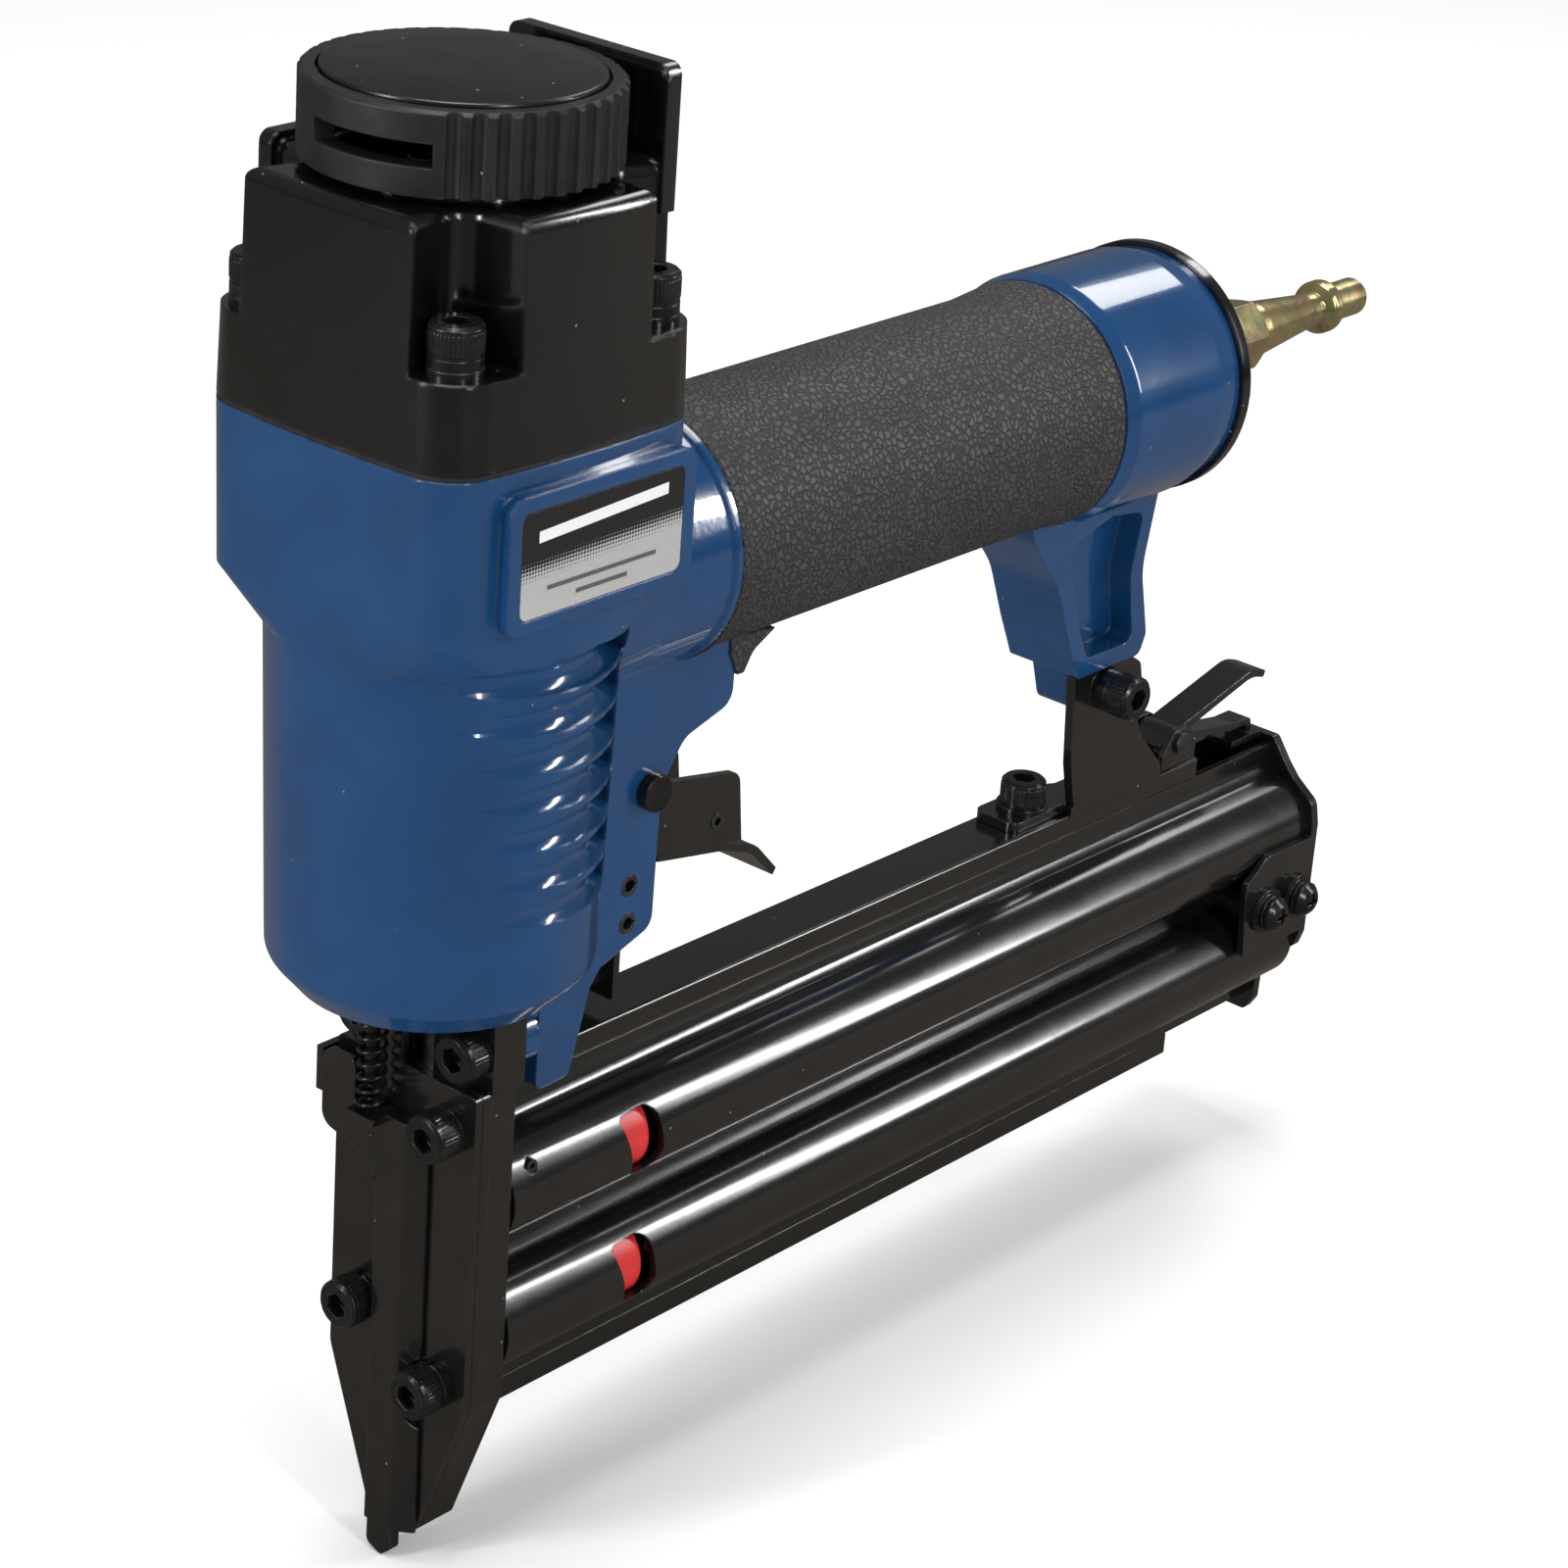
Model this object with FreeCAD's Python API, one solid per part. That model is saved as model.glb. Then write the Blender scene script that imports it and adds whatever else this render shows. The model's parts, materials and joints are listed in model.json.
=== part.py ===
import FreeCAD, Part
import math
import os

# Pneumatic 18 gauge brad nailer, millimetres.
# Origin: the point where the nail leaves the nose, on the driver axis.
# +Z runs up the driver axis, +X runs back towards the air plug, -Y is the nameplate side.

# Head block and cap
head_half = 27.4          # half width of the block at its corners
head_corner = 8.5         # plan radius of the block's corners
head_bow = 0.8            # how far each face bows out at its middle
block_bottom = 173.5
block_top = 200.2
gasket_thick = 0.8
cap_base = block_top + gasket_thick
cap_ledge = 215.0         # where the cap screws' washers sit
washer_thick = 1.4
lock_thick = 1.7
cap_top = 238.0
wall_top = 253.0          # top of the upright wall behind the exhaust knob
cap_screw_at = 21.0       # cap screws stand at (+-21, +-21)

# Cylinder
cylinder_bottom = 103.6
cylinder_radius_top = 28.2
cylinder_radius_bottom = 26.8
chamber_radius = 23.8
liner_outer = 21.0
bore_radius = 19.0
liner_bottom = 108.5
liner_top = 206.0
stroke = 78.0
flute_count = 7
flute_pitch = 6.7
flute_lowest = 124.3
flute_radius = 3.0

# Handle
handle_z = 168.4
handle_core = 19.6
grip_radius = 21.6
grip_front = 45.5
grip_rear = 147.3
bulb_radius = 23.3
bulb_end = 181.0
air_bore = 16.5
end_cap_face = 184.2
inlet_boss_end = 199.0

# Web and trigger
web_half = 10.5
slot_half = 7.95
pivot_x = 39.2
pivot_z = 127.4
trigger_half = 7.7
sheet = 1.2
valve_x = 49.0
lever_pin_x = 60.0
lever_pin_z = 114.5
guide_pin_x = 35.5
guide_pin_levels = (104.2, 111.1)
bracket_x = 170.2
bracket_z = 109.0

# Nose
nose_half = 16.0
nose_tip_half = 5.5
nose_shoulder = 28.5      # where the nose starts to taper
nose_plate_top = 87.5
base_front = -0.8
base_back = 4.6
cover_front = -4.4
blade_thick = 1.3
blade_wide = 4.6
safety_travel = 5.5
spring_x = -8.4
spring_y = 4.0

# Magazine
rail_half = 5.8
rail_end = 206.5
rail_top = 83.6
rail_bottom = 18.4
shell_top = 79.5
shell_bottom = 22.9
shell_front = 5.2
shell_back = 232.0
shell_wall = 1.4
rib_radius = 9.6
rib_at = 7.0
rib_levels = (63.9, 38.9)
end_plate_thick = 2.0
tab_inner = 16.7
tab_outer = 18.1

# Fasteners
m5_radius = 2.5
m5_head_radius = 4.25
m5_head_height = 5.0
hole_play = 0.1           # radial play of every screw in its hole
fit_play = 0.05           # radial play of pins and pistons that move

X = FreeCAD.Vector(1, 0, 0)
Y = FreeCAD.Vector(0, 1, 0)
Z = FreeCAD.Vector(0, 0, 1)


def vec(x, y, z):
    return FreeCAD.Vector(x, y, z)


def save(name, shape):
    shape.exportStep("parts/" + name + ".step")
    print(name, round(shape.Volume, 1), shape.isValid())


def box(x0, x1, y0, y1, z0, z1):
    return Part.makeBox(x1 - x0, y1 - y0, z1 - z0, vec(x0, y0, z0))


def rod(radius, start, end):
    axis = end.sub(start)
    return Part.makeCylinder(radius, axis.Length, start, axis)


def ring(outer, inner, start, end):
    return rod(outer, start, end).cut(rod(inner, start, end))


def fuse(first, *others):
    return first.multiFuse(list(others)).removeSplitter()


def group(shapes):
    return Part.makeCompound(shapes)


def in_plane(plane, offset, a, b):
    """Plane coordinates (a, b) as a point at the given offset."""
    return {"XZ": vec(a, offset, b), "YZ": vec(offset, a, b), "XY": vec(a, b, offset)}[plane]


def outline(plane, offset, points):
    """A closed wire through (a, b) or (a, b, corner radius) points."""
    corners = [(p[0], p[1], p[2] if len(p) > 2 else 0.0) for p in points]
    stops = []
    count = len(corners)
    for i, (a, b, radius) in enumerate(corners):
        before = corners[i - 1]
        after = corners[(i + 1) % count]
        here = vec(a, b, 0)
        back = vec(before[0], before[1], 0).sub(here).normalize()
        ahead = vec(after[0], after[1], 0).sub(here).normalize()
        if radius <= 0:
            stops.append((here, None, here))
            continue
        half_angle = back.getAngle(ahead) / 2
        run = radius / math.tan(half_angle)
        middle = back.add(ahead).normalize()
        centre = here.add(middle * (radius / math.sin(half_angle)))
        stops.append((here.add(back * run), centre.sub(middle * radius), here.add(ahead * run)))
    edges = []
    for i, (enter, mid, leave) in enumerate(stops):
        if mid is not None:
            edges.append(Part.Arc(*(in_plane(plane, offset, p.x, p.y) for p in (enter, mid, leave))).toShape())
        following = stops[(i + 1) % count][0]
        if leave.distanceToPoint(following) > 1e-6:
            ends = [in_plane(plane, offset, p.x, p.y) for p in (leave, following)]
            edges.append(Part.LineSegment(*ends).toShape())
    return Part.Wire(edges)


def prism(plane, start, end, points):
    """An outline drawn in a plane and extruded across it from start to end."""
    normal = {"XZ": Y, "YZ": X, "XY": Z}[plane]
    return Part.Face(outline(plane, start, points)).extrude(normal * (end - start))


def mirrored(points):
    """A half outline at positive a, closed by its mirror image."""
    return points + [(-p[0],) + tuple(p[1:]) for p in reversed(points)]


def both_sides(shape):
    return [shape, shape.mirror(vec(0, 0, 0), Y)]


def turned(points, start, direction):
    """A profile of (radius, height) points turned about the axis through start."""
    face = Part.Face(outline("XZ", 0, points))
    solid = face.revolve(vec(0, 0, 0), Z, 360)
    solid.Placement = FreeCAD.Placement(start, FreeCAD.Rotation(Z, direction))
    return solid


def bowed_square(half, corner, bow, z):
    """A square with round corners and gently bowed sides."""
    flat = half - corner
    slant = flat + corner * math.sqrt(0.5)
    edges = []
    for quarter in range(4):
        angle = math.radians(90 * quarter)
        c, s = math.cos(angle), math.sin(angle)
        side = [(half, -flat), (half + bow, 0), (half, flat)]
        bend = [(half, flat), (slant, slant), (flat, half)]
        for trio in (side, bend):
            edges.append(Part.Arc(*(vec(a * c - b * s, a * s + b * c, z) for a, b in trio)).toShape())
    return Part.Wire(edges)


def head_solid(z0, z1, grow0=0.0, grow1=0.0):
    lower = bowed_square(head_half + grow0, head_corner, head_bow, z0)
    upper = bowed_square(head_half + grow1, head_corner, head_bow, z1)
    return Part.makeLoft([lower, upper], True, True)


def hexagon(across_flats, start, end, turn=0.0):
    reach = across_flats / math.sqrt(3)
    spots = [math.radians(60 * i + turn) for i in range(6)]
    points = [vec(reach * math.cos(t), reach * math.sin(t), 0) for t in spots]
    solid = Part.Face(Part.makePolygon(points + points[:1])).extrude(Z * start.distanceToPoint(end))
    solid.Placement = FreeCAD.Placement(start, FreeCAD.Rotation(Z, end.sub(start)))
    return solid


def socket_screw(seat, direction, length, radius=m5_radius, head=m5_head_radius, height=m5_head_height):
    """A socket cap screw whose head rises from seat along direction."""
    top = seat.add(direction * height)
    chamfer = 0.5
    profile = [(0, 0), (head, 0), (head, height - chamfer), (head - chamfer, height), (0, height)]
    screw = turned(profile, seat, direction).fuse(rod(radius, seat.sub(direction * length), seat))
    socket_depth = height * 0.5
    socket = hexagon(radius * 1.6, top.sub(direction * socket_depth), top.add(direction))
    return screw.cut(socket).removeSplitter()


def coil(mean_radius, wire_radius, start, length, turns):
    """A round wire spring standing along Z."""
    helix = Part.makeHelix(length / turns, length, mean_radius)
    section = Part.Wire(Part.makeCircle(wire_radius, vec(mean_radius, 0, 0), Y))
    spring = Part.Wire(helix.Edges).makePipeShell([section], True, True)
    spring.translate(start)
    return spring


def o_ring(mean_radius, wire_radius, centre, axis):
    return Part.makeTorus(mean_radius, wire_radius, centre, axis)


# ---- body casting -------------------------------------------------------------------

def flute_cutter(z):
    """One finger groove: a ring set off centre, so it fades out towards the front."""
    groove = Part.makeTorus(29.2, flute_radius, vec(-2.6, 0, z), Z)
    reach = 40
    return groove.common(box(-18, 19, -reach, reach, z - 4, z + 4))


def cylinder_solid():
    profile = [
        (0, cylinder_bottom),
        (22.5, cylinder_bottom),
        (cylinder_radius_bottom, cylinder_bottom + 5, 4),
        (cylinder_radius_top, block_bottom),
        (0, block_bottom),
    ]
    return turned(profile, vec(0, 0, 0), Z)


def head_skirt():
    """The shoulder that carries the square block down to the round cylinder."""
    lower = bowed_square(27.6, 26.0, 0.2, 165.5)
    upper = bowed_square(head_half, head_corner, head_bow, block_bottom)
    return Part.makeLoft([lower, upper], True, True)


def nameplate_frame():
    """The raised panel frame on one flank of the block."""
    frame = [(-17.2, 174.6, 3), (23.4, 174.6, 3), (23.4, 196.8, 3), (-17.2, 196.8, 3)]
    recess = [(-14.6, 177.0, 1.6), (20.8, 177.0, 1.6), (20.8, 194.2, 1.6), (-14.6, 194.2, 1.6)]
    raised = prism("XZ", -30.0, -20, frame)
    return raised, prism("XZ", -31, -29.2, recess)


def web_solid():
    points = [
        (12, 160), (58.6, 160), (58.6, 138.0, 3.5), (47.0, 134.6, 5), (42.0, 127.0, 8),
        (41.6, 102.0, 3), (29.4, 98.0, 1.5), (27.2, 95.2), (23.0, 80.2, 1.5), (15.2, 79.9, 1.5),
        (15.2, 104.5), (12, 104.5),
    ]
    return prism("XZ", -web_half, web_half, points)


def nose_tongue():
    """What the nose plates bolt to, under the cylinder."""
    centre = box(base_back + 0.1, 16, -6, 6, 84.2, 105)
    wings = box(6.6, 12.6, -12.6, 12.6, 88.5, 105)
    bosses = [rod(4.5, vec(6.6, y, z), vec(10.2, y, z)) for y, z in upper_screws]
    return fuse(centre, wings, *bosses)


def leg_solid():
    points = [
        (141.0, 152), (142.5, 145.0, 6), (151.2, 134.2, 14), (155.8, 123.0, 20), (160.2, 113.6, 1),
        (179.2, 113.6, 2), (180.8, 117.6, 2), (177.2, 131.5, 14), (180.0, 147.0), (180.0, 152),
    ]
    tongue = [(162.2, 116), (166.0, 104.2, 3), (177.0, 102.4, 1.5), (177.0, 116)]
    return prism("XZ", -8, 8, points).fuse(prism("XZ", -5, 5, tongue))


def leg_pocket():
    points = [
        (153.6, 141.6, 2), (158.6, 125.0, 12), (162.4, 117.2, 2), (176.4, 117.2, 2),
        (173.6, 131.2, 14), (176.0, 143.2, 2), (166, 144.6),
    ]
    return prism("XZ", -9, -3, points)


def handle_solid():
    lip = 0.8
    profile = [
        (0, 16), (22.6, 16), (21.3, 30, 10), (21.3, grip_front - 2), (22.0, grip_front - 1.2, 0.5),
        (22.0, grip_front), (handle_core, grip_front), (handle_core, grip_rear),
        (bulb_radius - lip, grip_rear), (bulb_radius, grip_rear + 3, 2), (bulb_radius, bulb_end - 6, 8),
        (bulb_radius - lip, bulb_end), (0, bulb_end),
    ]
    return turned(profile, vec(0, 0, handle_z), X)


def body_casting():
    raised, recess = nameplate_frame()
    solid = fuse(
        head_solid(block_bottom, block_top, 0.0, 0.3), head_skirt(), cylinder_solid(), web_solid(),
        nose_tongue(), leg_solid(), handle_solid(), *both_sides(raised),
    )
    flutes = [flute_cutter(flute_lowest + flute_pitch * i) for i in range(flute_count)]
    cuts = flutes + both_sides(recess) + both_sides(leg_pocket())
    cuts.append(rod(chamber_radius, vec(0, 0, 116), vec(0, 0, block_top + 1)))
    cuts.append(rod(liner_outer, vec(0, 0, liner_bottom), vec(0, 0, 117)))
    cuts.append(rod(3.9, vec(0, 0, cylinder_bottom - 20), vec(0, 0, liner_bottom + 1)))
    cuts.append(rod(air_bore, vec(20, 0, handle_z), vec(bulb_end + 1, 0, handle_z)))
    cuts.append(box(33, 60, -slot_half, slot_half, 90, 133.6))
    cuts.append(rod(5, vec(valve_x, 0, 130), vec(valve_x, 0, handle_z)))
    cuts.append(rod(2.5 + hole_play, vec(pivot_x, -20, pivot_z), vec(pivot_x, 20, pivot_z)))
    for level in guide_pin_levels:
        cuts.append(rod(1.9, vec(guide_pin_x, -20, level), vec(guide_pin_x, 20, level)))
    cuts.append(box(4, 30, -rail_half - 0.4, rail_half + 0.4, 70, 84.2))
    for sx in (-1, 1):
        for sy in (-1, 1):
            x, y = sx * cap_screw_at, sy * cap_screw_at
            cuts.append(rod(m5_radius + hole_play, vec(x, y, 181), vec(x, y, block_top + 1)))
    for y, z in upper_screws:
        cuts.append(rod(m5_radius + hole_play, vec(0, y, z), vec(14, y, z)))
    cuts.append(rod(m5_radius + hole_play, vec(bracket_x, -9, bracket_z), vec(bracket_x, 9, bracket_z)))
    return solid.cut(cuts).removeSplitter()


# ---- cap, gasket and head fasteners ---------------------------------------------------

def screw_pocket(sx, sy):
    points = [(33, 19.0), (15.4, 15.2, 3.5), (13.0, 33), (33, 33)]
    signed = [(sx * p[0], sy * p[1]) + tuple(p[2:]) for p in points]
    return prism("XY", cap_ledge, cap_top + 3, signed)


def cylinder_cap():
    pockets = [screw_pocket(sx, sy) for sx in (-1, 1) for sy in (-1, 1)]
    solid = head_solid(cap_base, cap_top, 0.3, -0.5).cut(pockets)
    rim = [e for e in solid.Edges if min(v.Z for v in e.Vertexes) > cap_top - 0.1]
    solid = solid.makeFillet(2.0, rim)
    wall_low = prism("YZ", 25.2, 28.0, [(-18.2, 230), (15.4, 230), (15.4, wall_top, 2), (-18.2, wall_top, 2)])
    wall_thick = prism("YZ", 25.0, 28.0, [(-18.2, 230), (-0.5, 230), (-0.5, wall_top - 1), (-18.2, wall_top - 1, 2)])
    side_rib = prism("XZ", 24.8, 27.6, [(-15.2, 230), (12, 230), (12, 239.2, 2), (-15.2, 239.2, 2)])
    seat = rod(20.5, vec(0, 0, cap_top - 1), vec(0, 0, cap_top + 0.8))
    solid = fuse(solid, wall_low, wall_thick, side_rib, seat)
    cuts = []
    for sx in (-1, 1):
        for sy in (-1, 1):
            x, y = sx * cap_screw_at, sy * cap_screw_at
            cuts.append(rod(m5_radius + hole_play, vec(x, y, cap_base - 1), vec(x, y, cap_top)))
    cuts.append(rod(chamber_radius - 5.2, vec(0, 0, cap_base - 1), vec(0, 0, 224)))
    cuts.append(rod(chamber_radius - 1.0, vec(0, 0, cap_base - 1), vec(0, 0, 211)))
    cuts.append(rod(8.0, vec(0, 0, 220), vec(0, 0, 233)))
    cuts.append(rod(2.1, vec(0, 0, 234), vec(0, 0, 242)))
    for turn in (45, 135, 225, 315):
        spot = vec(5.4 * math.cos(math.radians(turn)), 5.4 * math.sin(math.radians(turn)), 230)
        cuts.append(rod(2.2, spot, spot.add(Z * 12)))
    return solid.cut(cuts).removeSplitter()


def cap_gasket():
    solid = head_solid(block_top, cap_base, 0.1, 0.1)
    cuts = [rod(chamber_radius, vec(0, 0, block_top - 1), vec(0, 0, cap_base + 1))]
    for sx in (-1, 1):
        for sy in (-1, 1):
            x, y = sx * cap_screw_at, sy * cap_screw_at
            cuts.append(rod(m5_radius + hole_play, vec(x, y, block_top - 1), vec(x, y, cap_base + 1)))
    return solid.cut(cuts)


def at_cap_screws(make):
    spots = [(sx * cap_screw_at, sy * cap_screw_at) for sx in (-1, 1) for sy in (-1, 1)]
    return group([make(x, y) for x, y in spots])


def cap_washer(x, y):
    return ring(4.35, m5_radius + hole_play, vec(x, y, cap_ledge), vec(x, y, cap_ledge + washer_thick))


def spring_washer(seat, direction, thick):
    """A split lock washer: a ring with one narrow cut."""
    washer = ring(4.3, m5_radius + hole_play, vec(0, 0, 0), vec(0, 0, thick))
    split = washer.cut(box(1, 6, -0.35, 0.35, -1, thick + 1))
    split.Placement = FreeCAD.Placement(seat, FreeCAD.Rotation(Z, direction))
    return split


def cap_spring_washer(x, y):
    return spring_washer(vec(x, y, cap_ledge + washer_thick), Z, lock_thick)


def cap_screw(x, y):
    return socket_screw(vec(x, y, cap_ledge + washer_thick + lock_thick), Z, 34)


def nameplate():
    points = [(-14.5, 177.1, 1.5), (20.7, 177.1, 1.5), (20.7, 194.1, 1.5), (-14.5, 194.1, 1.5)]
    return prism("XZ", -30.0, -29.2, points)


# ---- exhaust knob ----------------------------------------------------------------------

knob_radius = 24.6
knob_bottom = 239.4
knob_top = 252.3


def exhaust_deflector():
    solid = turned([(0, knob_bottom), (knob_radius, knob_bottom), (knob_radius, knob_top - 0.6),
                    (knob_radius - 0.6, knob_top), (0, knob_top)], vec(0, 0, 0), Z)
    flute_step = 8.6
    cuts = []
    for i in range(42):
        turn = -138.0 + flute_step * i
        if turn > 142:
            break
        spot = vec(knob_radius + 0.5, 0, 0)
        spot = FreeCAD.Rotation(Z, turn).multVec(spot)
        cuts.append(rod(1.35, spot.add(Z * (knob_bottom - 1)), spot.add(Z * (knob_top + 1))))
    cuts.append(rod(22.0, vec(0, 0, knob_top - 1.5), vec(0, 0, knob_top + 1)))
    cavity = ring(21.0, 5.0, vec(0, 0, knob_bottom - 1), vec(0, 0, 248.4))
    slot = ring(knob_radius + 2, 18.0, vec(0, 0, 243.8), vec(0, 0, 247.4))
    wedge = prism("XY", 243, 248.2, [(0, 0), (-60, 18), (-60, -42)])
    cuts += [cavity, slot.common(wedge), rod(2.1, vec(0, 0, knob_bottom - 1), vec(0, 0, knob_top))]
    cuts.append(rod(4.6, vec(0, 0, 249.0), vec(0, 0, knob_top)))
    return solid.cut(cuts).removeSplitter()


def deflector_disc():
    return turned([(0, knob_top - 1.4), (21.5, knob_top - 1.4), (21.5, knob_top + 0.6, 0.5),
                   (14, knob_top + 1.7, 60), (0, knob_top + 2.0)], vec(0, 0, 0), Z)


def deflector_screw():
    head = turned([(0, 249.05), (4.3, 249.05), (4.3, 249.9, 0.3), (3.0, 250.8), (0, 250.8)], vec(0, 0, 0), Z)
    return head.fuse(rod(2.0, vec(0, 0, 235), vec(0, 0, 249.1))).removeSplitter()


# ---- cylinder and valve internals ------------------------------------------------------

liner_ring_levels = (195.8, 198.9)


def cylinder_liner():
    solid = ring(liner_outer - 0.02, bore_radius, vec(0, 0, liner_bottom), vec(0, 0, liner_top))
    collar = ring(22.6, liner_outer - 0.5, vec(0, 0, 194), vec(0, 0, 200.8))
    grooves = [Part.makeTorus(22.7, 0.9, vec(0, 0, z), Z) for z in liner_ring_levels]
    ports = [rod(1.5, vec(0, 0, 124), FreeCAD.Rotation(Z, 60 * i).multVec(vec(25, 0, 0)).add(Z * 124)) for i in range(6)]
    return solid.fuse(collar).cut(grooves + ports).removeSplitter()


def liner_orings():
    return group([o_ring(22.7, 0.85, vec(0, 0, z), Z) for z in liner_ring_levels])


def piston_bumper():
    return turned([(3.9, liner_bottom), (bore_radius - 0.05, liner_bottom), (bore_radius - 0.05, 115, 2),
                   (16, 118.0, 2), (3.9, 118.0)], vec(0, 0, 0), Z)


piston_bottom = 196.2
piston_top = 205.4


def drive_piston():
    edge = bore_radius - fit_play
    solid = turned([(0, piston_bottom), (15, piston_bottom), (edge, piston_bottom + 2.5),
                    (edge, piston_top, 0.6), (12, piston_top), (10, piston_top - 2), (0, piston_top - 2)],
                   vec(0, 0, 0), Z)
    groove = ring(edge + 1, edge - 2.0, vec(0, 0, 200.6), vec(0, 0, 203.2))
    return solid.cut([groove, rod(3.2, vec(0, 0, piston_bottom - 1), vec(0, 0, 201))])


def piston_ring():
    return ring(bore_radius - 0.03, bore_radius - fit_play - 2.0, vec(0, 0, 200.7), vec(0, 0, 203.1))


def driver_blade():
    shank = rod(3.2, vec(0, 0, 185.5), vec(0, 0, 201))
    blade = box(-blade_thick / 2, blade_thick / 2, -blade_wide / 2, blade_wide / 2, 79.0, 186)
    return shank.fuse(blade).removeSplitter()


def head_valve():
    solid = turned([(5.5, 206.2), (18.4, 206.2), (18.4, 214.5, 0.5), (8.0 - fit_play, 214.5),
                    (8.0 - fit_play, 227.0, 0.4), (5.5, 227.0)], vec(0, 0, 0), Z)
    groove = ring(19, 16.9, vec(0, 0, 212.2), vec(0, 0, 213.8))
    return solid.cut(groove)


def head_valve_oring():
    return ring(18.45, 16.95, vec(0, 0, 212.25), vec(0, 0, 213.75))


def head_valve_spring():
    return coil(11.5, 0.8, vec(0, 0, 215.4), 7.5, 3)


# ---- handle, end cap and air plug -------------------------------------------------------

def grip_sleeve():
    inner = handle_core + 0.03
    profile = [
        (inner, grip_front + 0.05), (22.2, grip_front + 0.05, 0.4), (22.2, grip_front + 1.2, 0.4),
        (grip_radius, grip_front + 3, 2), (grip_radius, 136, 20), (22.5, grip_rear - 1.0, 0.8),
        (22.0, grip_rear - 0.05), (inner, grip_rear - 0.05),
    ]
    sleeve = turned(profile, vec(0, 0, handle_z), X)
    saddle = prism("XZ", -web_half - 0.4, web_half + 0.4, [
        (57, 150), (68, 149), (62.6, 146.2, 4), (60.6, 142.8, 0.6), (59.0, 142.8), (57, 147)])
    hollow = rod(inner, vec(40, 0, handle_z), vec(160, 0, handle_z))
    solid = sleeve.fuse(saddle).cut([
        hollow,
        box(40, 58.65, -web_half - 0.05, web_half + 0.05, 120, 160),
        leg_clearance(),
    ])
    return solid.removeSplitter()


def leg_clearance():
    return prism("XZ", -8.05, 8.05, [(140.9, 156), (140.9, 147.5), (143.5, 143.0), (150, 130), (160, 130), (160, 156)])


def handle_end_cap():
    profile = [
        (6.1, 170), (15.0, 170), (air_bore - 0.05, 171.5), (air_bore - 0.05, bulb_end),
        (23.4, bulb_end), (23.4, end_cap_face - 0.8, 0.6), (22.4, end_cap_face, 0.6), (13, end_cap_face, 2),
        (11, inlet_boss_end, 1), (6.1, inlet_boss_end),
    ]
    solid = turned(profile, vec(0, 0, handle_z), X)
    return solid.cut(Part.makeTorus(air_bore - 0.98, 1.0, vec(176, 0, handle_z), X))


def end_cap_oring():
    return o_ring(air_bore - 0.98, 0.95, vec(176, 0, handle_z), X).common(
        rod(air_bore - 0.02, vec(170, 0, handle_z), vec(180, 0, handle_z)))


def air_plug():
    start = vec(inlet_boss_end, 0, handle_z)
    shank = rod(6.0, vec(184, 0, handle_z), start)
    nut = hexagon(12.6, start, vec(213.4, 0, handle_z), 20)
    rounding = turned([(0, inlet_boss_end), (6.5, inlet_boss_end), (7.3, 200.2), (7.3, 212.2), (6.0, 213.4),
                       (0, 213.4)], vec(0, 0, handle_z), X)
    nozzle = turned([
        (0, 213), (5.3, 213), (5.3, 216.5, 4), (3.5, 233.4, 6), (3.5, 236.4), (5.2, 237.8, 0.9), (5.2, 240.2, 0.9),
        (3.7, 242.0), (3.7, 250.2, 0.6), (3.2, 251.0), (0, 251.0),
    ], vec(0, 0, handle_z), X)
    bore = rod(2.4, vec(180, 0, handle_z), vec(255, 0, handle_z))
    return fuse(shank, nut.common(rounding), nozzle).cut(bore).removeSplitter()


# ---- trigger group -----------------------------------------------------------------------

def trigger():
    side = [
        (35.6, 123.4, 2), (36.4, 131.2, 3), (42.6, 131.2, 3.5), (46.6, 125.8, 2), (65.2, 122.4, 3),
        (66.8, 108.9), (44.6, 112.8, 2),
    ]
    plates = [prism("XZ", trigger_half - sheet, trigger_half, side),
              prism("XZ", -trigger_half, -trigger_half + sheet, side)]
    floor = prism("XZ", -trigger_half, trigger_half, [
        (45.5, 112.62), (62.6, 109.6, 14), (70.5, 107.2, 8), (76.6, 100.8), (75.8, 99.6), (69.6, 105.7, 8),
        (62.4, 108.3, 14), (45.3, 111.4)])
    solid = fuse(plates[0], plates[1], floor)
    return solid.cut([
        rod(2.5 + fit_play, vec(pivot_x, -20, pivot_z), vec(pivot_x, 20, pivot_z)),
        rod(1.5, vec(lever_pin_x, -20, lever_pin_z), vec(lever_pin_x, 20, lever_pin_z)),
    ]).removeSplitter()


def trigger_roll_pin():
    return ring(1.5, 0.8, vec(lever_pin_x, -trigger_half - 0.2, lever_pin_z), vec(lever_pin_x, trigger_half + 0.2, lever_pin_z))


def trigger_lever():
    """The inner lever that lifts the valve stem once the safety is pressed."""
    strip = prism("XZ", -5.6, 5.6, [
        (37.4, 120.2), (50.5, 120.4, 4), (58.5, 113.0, 2), (61.5, 113.0, 1.2), (61.5, 116.0, 1.2),
        (59.5, 117.0, 1), (51.5, 122.2, 3), (37.4, 121.8, 0.6)])
    eye = rod(2.6, vec(lever_pin_x, -5.6, lever_pin_z), vec(lever_pin_x, 5.6, lever_pin_z))
    return fuse(strip, eye).cut(rod(1.5 + fit_play, vec(lever_pin_x, -9, lever_pin_z), vec(lever_pin_x, 9, lever_pin_z)))


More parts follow.
